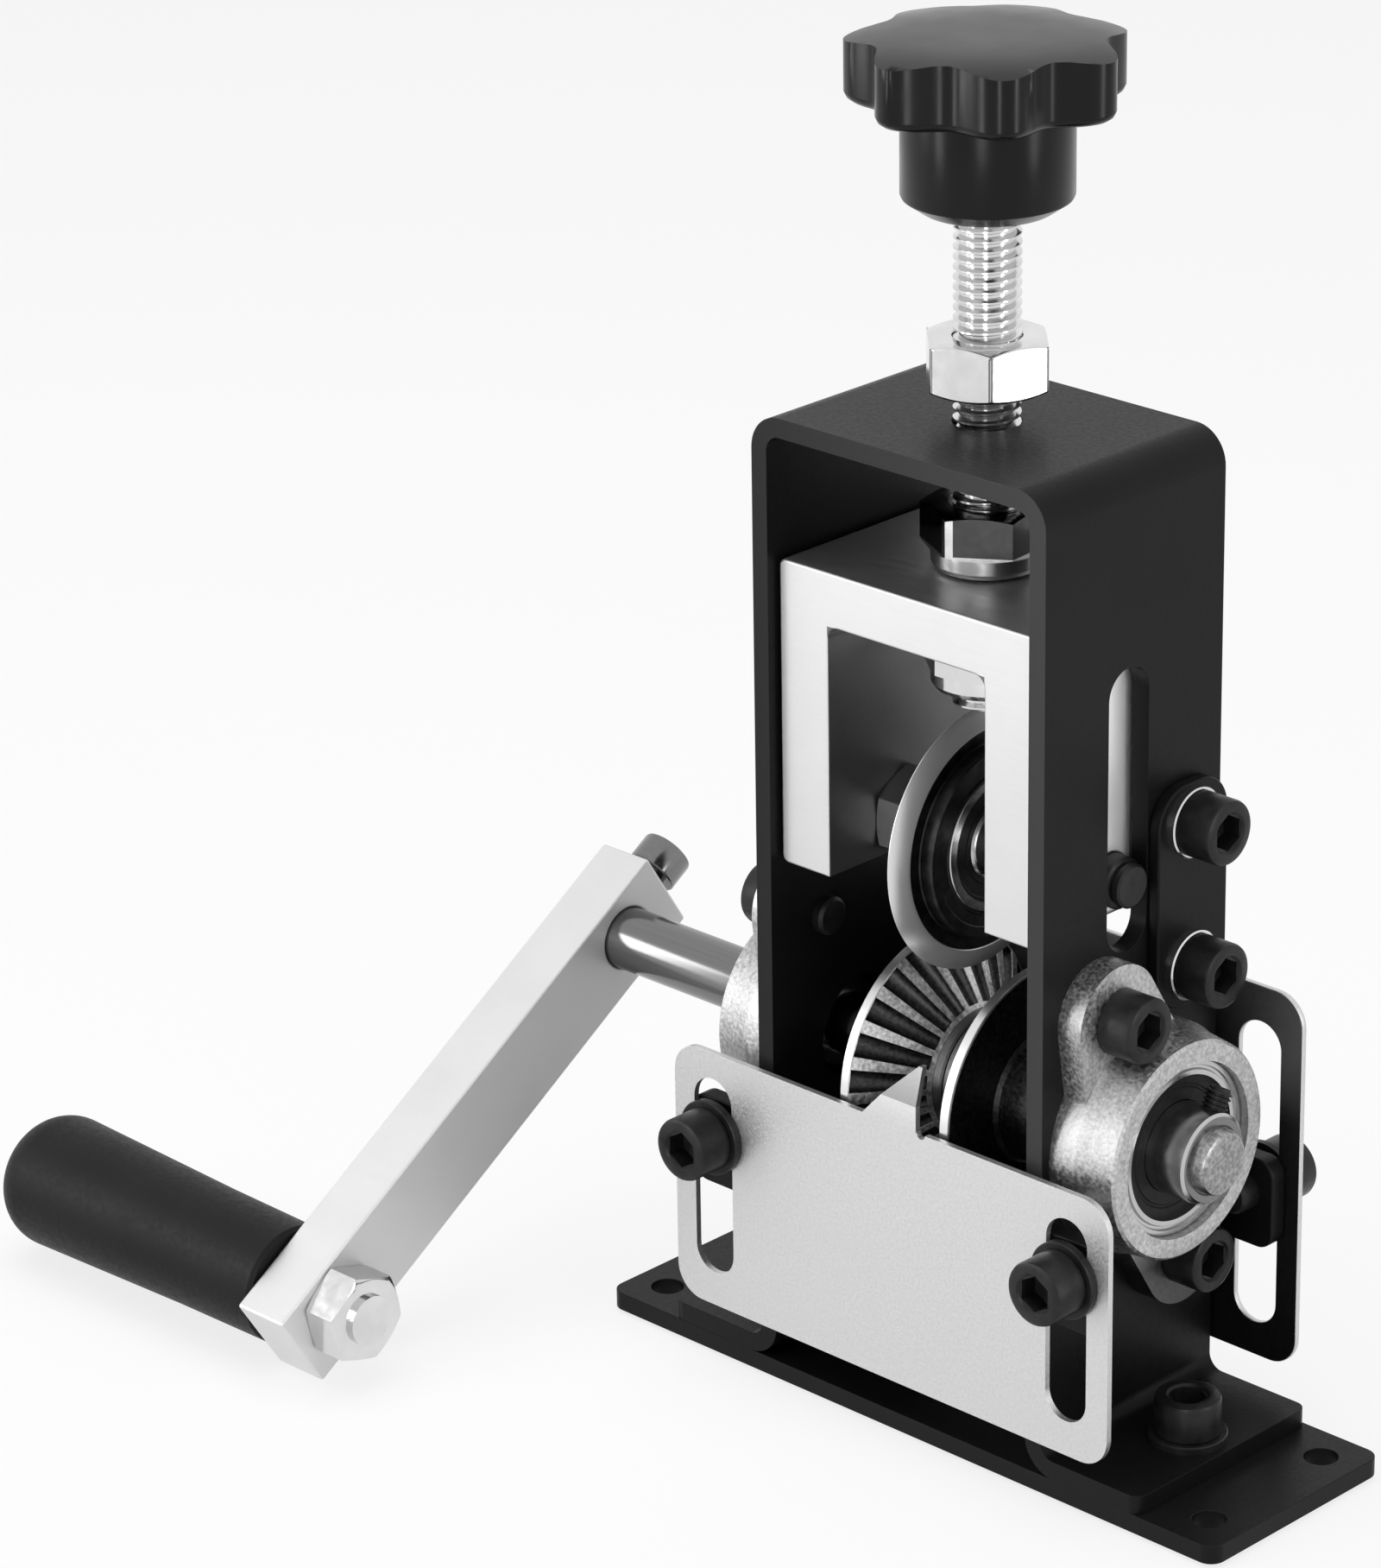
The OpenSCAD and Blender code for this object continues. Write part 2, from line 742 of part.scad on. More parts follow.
module nylock_inserts() {
    color(nylon)
        for (z = [upper_nylock_z, lower_nylock_z])
            translate([0, 0, z])
                ring(insert_d / 2, spindle_d / 2, insert_h);
}

module carrier() {
    height = carrier_top - carrier_bottom;
    hollow_top = carrier_top - carrier_cross_t;
    color(satin_aluminium)
        difference() {
            union() {
                translate([-carrier_half_w, -carrier_d / 2, carrier_bottom])
                    cube([2 * carrier_half_w, carrier_d, height - carrier_outer_r]);
                translate([-carrier_half_w + carrier_outer_r, -carrier_d / 2, carrier_bottom])
                    cube([2 * (carrier_half_w - carrier_outer_r), carrier_d, height]);
                for (s = [-1, 1])
                    translate([
                        s * (carrier_half_w - carrier_outer_r), carrier_d / 2, carrier_top - carrier_outer_r
                    ])
                        rotate([90, 0, 0])
                            cylinder(r = carrier_outer_r, h = carrier_d);
            }
            translate([-carrier_hollow, -carrier_d / 2 - over, carrier_bottom - over])
                cube([
                    2 * carrier_hollow, carrier_d + 2 * over,
                    hollow_top - carrier_inner_r - carrier_bottom + over
                ]);
            translate([-carrier_hollow + carrier_inner_r, -carrier_d / 2 - over, carrier_bottom])
                cube([
                    2 * (carrier_hollow - carrier_inner_r), carrier_d + 2 * over,
                    hollow_top - carrier_bottom
                ]);
            for (s = [-1, 1])
                translate([
                    s * (carrier_hollow - carrier_inner_r), carrier_d / 2 + over, hollow_top - carrier_inner_r
                ])
                    rotate([90, 0, 0])
                        cylinder(r = carrier_inner_r, h = carrier_d + 2 * over);
            translate([0, 0, hollow_top - over])
                cylinder(r = spindle_d / 2 + turn_gap, h = carrier_cross_t + 2 * over);
            translate([-carrier_half_w - over, axle_y, axle_z])
                along_x()
                    cylinder(d = axle_d, h = 2 * (carrier_half_w + over));
        }
}

module blade_axle() {
    body_half = axle_half_l - axle_nose_l;
    color(chrome)
        translate([0, axle_y, axle_z]) {
            translate([-body_half, 0, 0])
                along_x()
                    cylinder(d = axle_d, h = 2 * body_half);
            translate([-axle_half_l, 0, 0])
                along_x()
                    cylinder(d = axle_nose_d, h = 2 * axle_half_l);
        }
}

module axle_nuts() {
    color(chrome)
        for (s = [-1, 1])
            translate([s * carrier_hollow, axle_y, axle_z])
                rotate([0, -s * 90, 0])
                    hex_nut(axle_nut_af, axle_nut_h, axle_d);
}

module axle_spacers() {
    color(chrome)
        for (s = [-1, 1])
            translate([s * (carrier_hollow - axle_nut_h), axle_y, axle_z])
                rotate([0, -s * 90, 0])
                    ring(axle_spacer_d / 2, axle_d / 2, carrier_hollow - axle_nut_h - blade_boss_half);
}

// Places a shape made about Z on the blade's axis.
module on_blade_axis() {
    translate([0, axle_y, axle_z]) along_x() children();
}

module blade_wheel() {
    color(cast_zinc)
        on_blade_axis()
            rotate_extrude()
                polygon([
                    [blade_bearing_r, -blade_boss_half],
                    [blade_boss_r, -blade_boss_half],
                    [blade_boss_r, -blade_half_t],
                    [blade_r - blade_bevel, -blade_half_t],
                    [blade_r, -blade_land],
                    [blade_r, blade_land],
                    [blade_r - blade_bevel, blade_half_t],
                    [blade_boss_r, blade_half_t],
                    [blade_boss_r, blade_boss_half],
                    [blade_bearing_r, blade_boss_half]
                ]);
}

module blade_bearing_outer() {
    color(chrome)
        on_blade_axis()
            translate([0, 0, -blade_boss_half])
                ring(blade_bearing_r, blade_bearing_r - blade_ring_t, 2 * blade_boss_half);
}

module blade_bearing_inner() {
    color(chrome)
        on_blade_axis()
            translate([0, 0, -blade_boss_half])
                ring(blade_inner_r, axle_d / 2, 2 * blade_boss_half);
}

module blade_bearing_seals() {
    color(plastic_black)
        on_blade_axis()
            for (z = [blade_boss_half - seal_inset - seal_t, -blade_boss_half + seal_inset])
                translate([0, 0, z])
                    ring(blade_bearing_r - blade_ring_t, blade_inner_r + seal_gap, seal_t);
}

module drive_shaft() {
    color(chrome)
        translate([-arm_back, 0, shaft_z])
            along_x()
                cylinder(d = shaft_d, h = arm_back + shaft_right);
}

// The right roller about Z, its toothed cone narrowing towards z = 0.
module roller() {
    rim_base_r = roller_rim_r - tooth_drop;
    small_base_r = roller_small_r - tooth_drop;
    difference() {
        union() {
            rotate_extrude()
                polygon([
                    [0, roller_half_gap],
                    [roller_small_r, roller_half_gap],
                    [roller_small_r, roller_collar_w],
                    [small_base_r, roller_collar_w],
                    [rim_base_r, roller_rim_in],
                    [roller_rim_r, roller_rim_in],
                    [roller_rim_r, roller_rim_out],
                    [roller_hub_d / 2, roller_rim_out],
                    [roller_hub_d / 2, roller_hub_end],
                    [0, roller_hub_end]
                ]);
            for (i = [0:tooth_count - 1])
                rotate([0, 0, tooth_angle + i * 360 / tooth_count])
                    tooth();
        }
        translate([0, 0, -over])
            cylinder(d = shaft_d, h = roller_hub_end + 2 * over);
        translate([0, 0, (roller_rim_out + roller_hub_end) / 2])
            rotate([0, 90, 0])
                cylinder(d = roller_screw_d, h = roller_hub_d);
    }
}

// One straight tooth lying on the cone, in the plane of local X and Z.
module tooth() {
    rotate([90, 0, 0])
        translate([0, 0, -tooth_w / 2])
            linear_extrude(height = tooth_w)
                polygon([
                    [roller_small_r - tooth_drop - tooth_depth, roller_collar_w],
                    [roller_small_r, roller_collar_w],
                    [roller_rim_r, roller_rim_in],
                    [roller_rim_r - tooth_drop - tooth_depth, roller_rim_in]
                ]);
}

module right_roller() {
    color(cast_zinc)
        translate([0, 0, shaft_z])
            along_x() roller();
}

module left_roller() {
    color(cast_zinc)
        mirror([1, 0, 0])
            translate([0, 0, shaft_z])
                along_x() roller();
}

module roller_set_screws() {
    color(black_oxide)
        for (s = [0, 1])
            mirror([s, 0, 0])
                translate([(roller_rim_out + roller_hub_end) / 2, 0, shaft_z])
                    mirror([0, 0, 1])
                        translate([0, 0, shaft_d / 2])
                            difference() {
                                cylinder(d = roller_screw_d, h = roller_screw_l);
                                translate([0, 0, roller_screw_l / 2])
                                    cylinder(r = roller_screw_d / 4, h = roller_screw_l, $fn = 6);
                            }
}

// The right housing about Z, its flange on z = 0.
module housing() {
    half = housing_pitch / 2;
    foot_r = housing_r - (housing_r - housing_face_r) * flange_t / 2 / housing_h;
    difference() {
        union() {
            cylinder(r = housing_r, h = flange_t);
            rotate([0, 0, housing_lean])
                for (side = [0, 1])
                    mirror([side, 0, 0]) {
                        translate([-half, 0, 0])
                            cylinder(r = housing_lobe_r, h = flange_t);
                        linear_extrude(height = flange_t)
                            polygon([
                                [0, housing_waist_r],
                                [-half, lobe_share * housing_lobe_r],
                                [-half, -lobe_share * housing_lobe_r],
                                [0, -housing_waist_r]
                            ]);
                    }
            translate([0, 0, flange_t / 2])
                cylinder(r1 = foot_r, r2 = housing_face_r, h = housing_h - flange_t / 2);
        }
        translate([0, 0, -over])
            cylinder(r = housing_bore_r, h = housing_h + 2 * over);
        rotate([0, 0, housing_lean])
            for (s = [-1, 1])
                translate([s * half, 0, -over])
                    cylinder(d = screw_d, h = flange_t + 2 * over);
        // seats that let the screw heads stand beside the round body
        rotate([0, 0, housing_lean])
            for (s = [-1, 1])
                translate([s * half, 0, flange_t])
                    cylinder(d = screw_head_d + edge_chamfer, h = housing_h);
    }
}

module right_bearing_housing() {
    color(cast_zinc)
        translate([frame_half, 0, shaft_z])
            along_x() housing();
}

module left_bearing_housing() {
    color(cast_zinc)
        mirror([1, 0, 0])
            translate([frame_half, 0, shaft_z])
                along_x() housing();
}

module outer_ring() {
    translate([frame_half, 0, shaft_z])
        along_x()
            ring(housing_bore_r, outer_ring_in_r, ring_face - frame_half);
}

module right_outer_ring() {
    color(chrome) outer_ring();
}

module left_outer_ring() {
    color(chrome)
        mirror([1, 0, 0]) outer_ring();
}

module inner_ring() {
    difference() {
        translate([frame_half, 0, shaft_z])
            along_x()
                ring(collar_r, shaft_d / 2, collar_end - frame_half);
        at_collar_screw()
            cylinder(d = collar_screw_d, h = 2 * collar_r);
    }
}

// Places children at the right collar's set screw, pointing away from the shaft.
module at_collar_screw() {
    translate([collar_end - collar_screw_inset, 0, shaft_z])
        rotate([-collar_screw_angle, 0, 0])
            children();
}

module right_inner_ring() {
    color(chrome) inner_ring();
}

module left_inner_ring() {
    color(chrome)
        mirror([1, 0, 0]) inner_ring();
}

module shaft_seals() {
    color(plastic_black)
        for (s = [0, 1])
            mirror([s, 0, 0])
                translate([ring_face - shaft_seal_inset - shaft_seal_t, 0, shaft_z])
                    along_x()
                        ring(outer_ring_in_r, collar_r + seal_gap, shaft_seal_t);
}

module collar_set_screws() {
    color(black_oxide)
        for (s = [0, 1])
            mirror([s, 0, 0])
                at_collar_screw()
                    translate([0, 0, shaft_d / 2])
                        cylinder(d = collar_screw_d, h = collar_screw_end - shaft_d / 2);
}

module bearing_screws() {
    color(black_oxide)
        at_bearing_screws()
            large_screw(flange_t + frame_t + bearing_screw_out);
}

module crank_arm() {
    color(satin_aluminium)
        crank_frame()
            difference() {
                translate([-arm_hole_inset, -arm_w / 2, 0])
                    cube([arm_l, arm_w, arm_t]);
                translate([0, 0, -over])
                    cylinder(d = shaft_d, h = arm_t + 2 * over);
                translate([0, 0, -arm_chamfer])
                    cylinder(r1 = shaft_d / 2 + 2 * arm_chamfer, r2 = shaft_d / 2, h = 2 * arm_chamfer);
                translate([crank_r, 0, -over])
                    cylinder(d = grip_bolt_d, h = arm_t + 2 * over);
                translate([-arm_hole_inset - over, 0, arm_t / 2])
                    along_x()
                        cylinder(d = clamp_d, h = arm_hole_inset + over);
            }
}

module crank_clamp_screw() {
    color(chrome)
        crank_frame()
            translate([-arm_hole_inset - clamp_gap, 0, arm_t / 2])
                rotate([0, -90, 0])
                    socket_screw(
                        clamp_d, clamp_head_d, clamp_head_h, clamp_socket_af,
                        arm_hole_inset + clamp_gap - shaft_d / 2
                    );
}

// Places a shape made about Z on the grip's axis: z = 0 at the arm's outer face, Z along -X.
module on_grip_axis() {
    translate([-arm_back, grip_bolt_y, grip_bolt_z])
        rotate([0, -90, 0])
            children();
}

module grip() {
    color(plastic_black)
        on_grip_axis()
            translate([0, 0, grip_gap])
                difference() {
                    rotate_extrude()
                        polygon(concat(
                            [[0, 0], [grip_near_r - edge_chamfer, 0], [grip_near_r, edge_chamfer]],
                            [
                                for (a = [0:10:90])
                                    [
                                        grip_far_r - grip_round_r + grip_round_r * cos(a),
                                        grip_l - grip_round_r + grip_round_r * sin(a)
                                    ]
                            ],
                            [[0, grip_l]]
                        ));
                    translate([0, 0, -over])
                        cylinder(r = grip_bolt_d / 2 + turn_gap, h = grip_l + 2 * over);
                    translate([0, 0, grip_l - grip_pocket_h])
                        cylinder(d = grip_pocket_d, h = grip_pocket_h + over);
                }
}

module grip_bolt() {
    head_at = grip_gap + grip_l - grip_pocket_h + face_gap;
    tail = arm_t + grip_nut_h + grip_bolt_out;
    color(chrome)
        on_grip_axis()
            difference() {
                union() {
                    translate([0, 0, -tail])
                        cylinder(d = grip_bolt_d, h = tail + head_at);
                    translate([0, 0, head_at])
                        cylinder(d = grip_head_d, h = grip_head_h);
                }
                translate([0, 0, head_at + grip_head_h * (1 - socket_share)])
                    cylinder(r = screw_socket_af / sqrt(3), h = grip_head_h, $fn = 6);
            }
}

module grip_nut() {
    color(chrome)
        translate([-arm_face, grip_bolt_y, grip_bolt_z])
            along_x()
                rotate([0, 0, 14])
                    hex_nut(grip_nut_af, grip_nut_h, grip_bolt_d);
}

// A guide plate in the plane of local X and Y, from z = 0, with its two long slots.
module guide_sheet(top, slot_top) {
    difference() {
        translate([0, (guide_bottom + top) / 2, 0])
            rounded_plate(2 * guide_half_w, top - guide_bottom, guide_t, guide_corner_r);
        for (s = [-1, 1])
            translate([s * guide_slot_x, (guide_slot_bottom + slot_top) / 2, -over])
                rotate([0, 0, 90])
                    slot_cut(slot_top - guide_slot_bottom, guide_slot_w, guide_t + 2 * over);
    }
}

module front_guide_plate() {
    color(sheet_steel)
        translate([0, -lug_front - face_gap, 0])
            rotate([90, 0, 0]) {
                difference() {
                    guide_sheet(front_guide_top, front_slot_top);
                    translate([tab_right + 1.4 * tab_relief_r, front_guide_top, -over])
                        cylinder(r = tab_relief_r, h = guide_t + 2 * over);
                }
                translate([0, front_guide_top, 0]) {
                    linear_extrude(height = guide_t)
                        polygon([
                            [-tab_left, 0], [tab_right, 0],
                            [tab_right, tab_upright_h], [-tab_crease_left, tab_upright_h]
                        ]);
                    translate([0, tab_upright_h - face_gap, guide_t - face_gap / 2])
                        rotate([-tab_lean, 0, 0])
                            translate([0, 0, -guide_t])
                                linear_extrude(height = guide_t)
                                    polygon([
                                        [-tab_crease_left, 0], [tab_right - tab_inset, 0],
                                        [tab_right - tab_inset, tab_tip_h - tab_tip_w],
                                        [tab_right - tab_inset - tab_tip_w, tab_tip_h]
                                    ]);
                }
            }
}

module rear_guide_plate() {
    color(sheet_steel)
        translate([0, rear_plate_rear, 0])
            rotate([90, 0, 0])
                guide_sheet(rear_guide_top, rear_slot_top);
}

// Places children at a pair of guide screws, pointing towards -Y on the washer's seat.
module at_guide_screws(distance) {
    for (s = [-1, 1])
        translate([s * guide_slot_x, -distance, guide_screw_z])
            rotate([90, 0, 0]) children();
}

module front_guide_screws() {
    seat = front_plate_front + face_gap;
    color(black_oxide)
        at_guide_screws(seat + washer_t)
            large_screw(seat + washer_t - lug_front + lug_t + guide_screw_out);
}

module front_guide_washers() {
    color(black_oxide)
        at_guide_screws(front_plate_front + face_gap)
            washer(washer_d, screw_d, washer_t);
}

module rear_guide_screws() {
    seat = rear_plate_rear + face_gap;
    color(black_oxide)
        mirror([0, 1, 0])
            at_guide_screws(seat + washer_t)
                large_screw(seat + washer_t - lug_rear + lug_t + guide_screw_out);
}

module rear_guide_washers() {
    color(black_oxide)
        mirror([0, 1, 0])
            at_guide_screws(rear_plate_rear + face_gap)
                washer(washer_d, screw_d, washer_t);
}

module side_plate() {
    width = side_plate_rear - side_plate_front;
    height = side_plate_top - side_plate_bottom;
    color(coat)
        difference() {
            translate([frame_half, side_screw_y, side_screw_mid])
                along_x()
                    rounded_plate(height, width, side_plate_t, side_plate_r);
            at_side_screws(-over)
                cylinder(d = screw_d, h = side_plate_t + 2 * over);
        }
}

module side_plate_screws() {
    color(black_oxide)
        at_side_screws(side_plate_t + thin_washer_t)
            large_screw(side_plate_t + thin_washer_t + frame_t - flush_inset);
}

module side_plate_washers() {
    color(chrome)
        at_side_screws(side_plate_t)
            washer(thin_washer_d, screw_d, thin_washer_t);
}

base_plate();
frame();
guide_lugs();
foot_screws();
foot_washers();
star_knob();
threaded_spindle();
lock_nut();
upper_nylock();
lower_nylock();
nylock_inserts();
carrier();
blade_axle();
axle_nuts();
axle_spacers();
blade_wheel();
blade_bearing_outer();
blade_bearing_inner();
blade_bearing_seals();
drive_shaft();
left_roller();
right_roller();
roller_set_screws();
left_bearing_housing();
right_bearing_housing();
left_outer_ring();
right_outer_ring();
left_inner_ring();
right_inner_ring();
shaft_seals();
collar_set_screws();
bearing_screws();
crank_arm();
crank_clamp_screw();
grip();
grip_bolt();
grip_nut();
front_guide_plate();
front_guide_screws();
front_guide_washers();
rear_guide_plate();
rear_guide_screws();
rear_guide_washers();
side_plate();
side_plate_screws();
side_plate_washers();
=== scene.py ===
import math

import bmesh
import bpy
from mathutils import Matrix, Vector


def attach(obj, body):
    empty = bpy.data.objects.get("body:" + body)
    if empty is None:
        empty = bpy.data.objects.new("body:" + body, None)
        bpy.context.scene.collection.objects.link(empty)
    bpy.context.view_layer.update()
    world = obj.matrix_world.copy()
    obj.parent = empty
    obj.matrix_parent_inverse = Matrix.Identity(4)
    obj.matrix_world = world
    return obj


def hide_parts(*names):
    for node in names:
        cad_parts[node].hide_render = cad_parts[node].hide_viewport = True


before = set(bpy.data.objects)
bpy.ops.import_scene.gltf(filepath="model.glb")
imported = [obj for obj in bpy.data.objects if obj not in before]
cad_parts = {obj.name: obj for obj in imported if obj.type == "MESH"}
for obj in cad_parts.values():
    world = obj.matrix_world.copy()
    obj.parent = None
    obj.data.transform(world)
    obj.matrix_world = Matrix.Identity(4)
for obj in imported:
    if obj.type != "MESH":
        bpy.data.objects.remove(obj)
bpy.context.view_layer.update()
mm = 0.001

# The base plate is a flat steel plate with rounded corners, four plain mounting holes and a satin
# black powder coat. The two feet of the bridge are screwed down on it.


class Link:
    """A number on its way through a material, which sums and products may use."""

    def __init__(self, nodes, socket):
        self.nodes = nodes
        self.socket = socket

    def math(self, operation, first, second):
        return self.nodes.node("ShaderNodeMath", {"operation": operation}, {0: first, 1: second})

    def __add__(self, other):
        return self.math("ADD", self, other)

    __radd__ = __add__

    def __sub__(self, other):
        return self.math("SUBTRACT", self, other)

    def __rsub__(self, other):
        return self.math("SUBTRACT", other, self)

    def __mul__(self, other):
        return self.math("MULTIPLY", self, other)

    __rmul__ = __mul__

    def __pow__(self, other):
        return self.math("POWER", self, other)

    def __gt__(self, other):
        return self.math("GREATER_THAN", self, other)

    def __lt__(self, other):
        return self.math("LESS_THAN", self, other)

    def __abs__(self):
        return self.math("ABSOLUTE", self, 0)


class Nodes:
    """A tree of nodes that grows by one call at a time."""

    def __init__(self, tree):
        self.tree = tree

    def feed(self, socket, value):
        """Gives an input a link or a plain value."""
        if isinstance(value, Link):
            self.tree.links.new(value.socket, socket)
        else:
            socket.default_value = value

    def node(self, kind, settings, inputs, output=0):
        """Adds a node with its settings and inputs, and hands on one of its outputs."""
        added = self.tree.nodes.new(kind)
        for key, value in settings.items():
            setattr(added, key, value)
        for key, value in inputs.items():
            self.feed(added.inputs[key], value)
        return Link(self, added.outputs[output])


class Finish(Nodes):
    """A material whose patterns lie still on the piece."""

    def __init__(self, name, metallic=0.0):
        self.material = bpy.data.materials.new(name)
        self.material.use_nodes = True
        super().__init__(self.material.node_tree)
        self.shader = self.tree.nodes["Principled BSDF"]
        self.shader.inputs["Metallic"].default_value = metallic
        self.place = self.node("ShaderNodeTexCoord", {}, {}, "Object")

    def noise(self, scale, detail=3.0, stretch=(1, 1, 1)):
        """A cloud pattern with so many spots a metre."""
        where = self.node("ShaderNodeMapping", {}, {"Vector": self.place, "Scale": stretch})
        return self.node("ShaderNodeTexNoise", {}, {"Vector": where, "Scale": scale, "Detail": detail})

    def ramp(self, value, low, high, to_low=0.0, to_high=1.0):
        """Stretches the range from low to high to another range, and cuts off what lies beyond."""
        return self.node("ShaderNodeMapRange", {}, {
            "Value": value, "From Min": low, "From Max": high, "To Min": to_low, "To Max": to_high})

    def mix(self, share, first, second):
        """Blends two colours or colour links by a share from 0 to 1."""
        inputs = {"Factor": share, 6: first, 7: second}
        return self.node("ShaderNodeMix", {"data_type": "RGBA"}, inputs, 2)

    def along(self, axis):
        """The place along X, Y or Z."""
        return self.node("ShaderNodeSeparateXYZ", {}, {0: self.place}, axis)

    def radius(self, across, up, centre):
        """The distance from an axis along X, Y or Z, given the two other directions."""
        return ((self.along(across) - centre[0]) ** 2 + (self.along(up) - centre[1]) ** 2) ** 0.5

    def colour(self, value):
        self.feed(self.shader.inputs["Base Color"], value)

    def metal(self, value):
        """Sets where the surface is metal, 1, and where it isn't, 0."""
        self.feed(self.shader.inputs["Metallic"], value)

    def rough(self, value):
        self.feed(self.shader.inputs["Roughness"], value)

    def shine(self, share):
        """Sets how strongly the bare, not metallic surface mirrors; 0.5 is usual for plastic."""
        self.feed(self.shader.inputs["Specular IOR Level"], share)

    def bump(self, height, depth):
        """Raises the surface by a height pattern of so many metres."""
        inputs = {"Height": height, "Distance": depth, "Strength": 1.0}
        self.feed(self.shader.inputs["Normal"], self.node("ShaderNodeBump", {}, inputs, "Normal"))


def grey(value):
    return (value, value, value, 1)


coat_edge_y = -19.4 * mm
coat_edge_low = 46 * mm
coat_edge_reach = 28 * mm
coat = Finish("powder_coat")
grains = coat.noise(1400, 2)
cloudy = coat.mix(coat.ramp(coat.noise(45, 4), 0.35, 0.7), grey(0.006), grey(0.009))
# The bridge's front edges above 46 mm are painted lighter, more so towards the right: a painted highlight on
# the black coat.
on_front_edge = (coat.along("Y") < coat_edge_y) * (coat.along("Z") > coat_edge_low)
to_the_right = coat.ramp(coat.along("X"), -coat_edge_reach, coat_edge_reach)
painted_edge_highlight = coat.mix(to_the_right, grey(0.015), grey(0.05))
coat.colour(coat.mix(on_front_edge, cloudy, painted_edge_highlight))
coat.rough(coat.ramp(grains, 0.3, 0.7, 0.34, 0.44))
coat.bump(grains, 0.02 * mm)
coat.shine(0.12)


def only(piece):
    """Selects one piece and makes it the active one."""
    bpy.ops.object.select_all(action="DESELECT")
    piece.select_set(True)
    bpy.context.view_layer.objects.active = piece


def settled(piece):
    """Applies a piece's place, turn and size to its mesh."""
    only(piece)
    bpy.ops.object.transform_apply(location=True, rotation=True, scale=True)
    return piece


def modified(piece, kind, **settings):
    """Adds a modifier with its settings and applies it."""
    only(piece)
    modifier = piece.modifiers.new(kind.title(), kind)
    for key, value in settings.items():
        setattr(modifier, key, value)
    bpy.ops.object.modifier_apply(modifier=modifier.name)
    return piece


def smooth(piece, angle=32):
    """Shades a piece smooth except at edges that are sharper than an angle."""
    only(piece)
    bpy.ops.object.shade_smooth_by_angle(angle=math.radians(angle))
    return piece


def softened(piece, width, segments=3, angle=35):
    """Rounds every sharp edge by a width and shades what is left smooth."""
    modified(piece, "BEVEL", width=width, segments=segments, limit_method="ANGLE",
             angle_limit=math.radians(angle), use_clamp_overlap=True, miter_outer="MITER_ARC")
    smooth(piece)
    return modified(piece, "WEIGHTED_NORMAL", keep_sharp=True)


def combined(piece, operation, others):
    """Changes a piece by other pieces, which are used up."""
    for other in others:
        modified(piece, "BOOLEAN", operation=operation, solver="EXACT", object=other)
        bpy.data.objects.remove(other)
    return piece


def cut(piece, *cutters):
    return combined(piece, "DIFFERENCE", cutters)


def extruded(way):
    """Extrudes what is selected in edit mode by a way."""
    bpy.ops.mesh.extrude_region_move(TRANSFORM_OT_translate={"value": way})


def closed(merge=0.0):
    """Merges what lies closer than a distance, turns faces outwards and leaves edit mode."""
    bpy.ops.mesh.select_all(action="SELECT")
    if merge:
        bpy.ops.mesh.remove_doubles(threshold=merge)
        bpy.ops.mesh.select_all(action="SELECT")
    bpy.ops.mesh.normals_make_consistent(inside=False)
    bpy.ops.object.mode_set(mode="OBJECT")


facing_turn = {"Z": (0, 0, 0), "Y": (math.pi / 2, 0, 0), "X": (math.pi / 2, 0, math.pi / 2)}
facing_way = {"Z": Vector((0, 0, 1)), "Y": Vector((0, 1, 0)), "X": Vector((1, 0, 0))}


def slab(name, centre, width, height, thickness, facing, corner=0.0):
    """A plate about its centre, facing X, Y or Z, with its corners rounded before it gets its thickness."""
    start = Vector(centre) - facing_way[facing] * thickness / 2
    bpy.ops.object.select_all(action="DESELECT")
    bpy.ops.mesh.primitive_plane_add(size=1, location=start, rotation=facing_turn[facing])
    piece = bpy.context.active_object
    piece.name = name
    piece.scale = (width, height, 1)
    settled(piece)
    bpy.ops.object.mode_set(mode="EDIT")
    bpy.ops.mesh.select_all(action="SELECT")
    if corner:
        bpy.ops.mesh.bevel(offset=corner, segments=10, affect="VERTICES")
        bpy.ops.mesh.select_all(action="SELECT")
    extruded(facing_way[facing] * thickness)
    closed(merge=0.001 * mm)
    return piece


def rod(name, start, end, radius, sides=64):
    """A round or many-sided bar between two points."""
    start = Vector(start)
    way = Vector(end) - start
    bpy.ops.object.select_all(action="DESELECT")
    bpy.ops.mesh.primitive_cylinder_add(
        vertices=sides, radius=radius, depth=way.length, location=start + way / 2,
        rotation=way.to_track_quat("Z", "Y").to_euler())
    piece = bpy.context.active_object
    piece.name = name
    return settled(piece)


def fitted(piece, body, slot, finish, *nodes):
    """Gives a finished piece its material and its body, and hides the CAD nodes that it stands for."""
    piece.data.materials.clear()
    piece.data.materials.append(finish.material)
    if nodes:
        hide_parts(*nodes)
    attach(piece, body)
    return piece


plate_length = 123 * mm
plate_depth = 39 * mm
plate_thick = 3 * mm
plate_corner = 2.5 * mm
mount_x = 55.25 * mm
mount_y = 12.9 * mm
mount_hole_r = 2.6 * mm
past = 4 * mm
plate = slab("base_slab", (0, 0, plate_thick / 2), plate_length, plate_depth, plate_thick, "Z", plate_corner)
for x in (-mount_x, mount_x):
    for y in (-mount_y, mount_y):
        cut(plate, rod("drill", (x, y, -past), (x, y, plate_thick + past), mount_hole_r))
softened(plate, 0.35 * mm)
fitted(plate, "root", "powder_black", coat, "base_plate")

# The bridge is one steel strip, bent into two feet, two legs and a top. It has a long slot in each
# leg, a hole for the shaft's bearing, and the same powder coat.


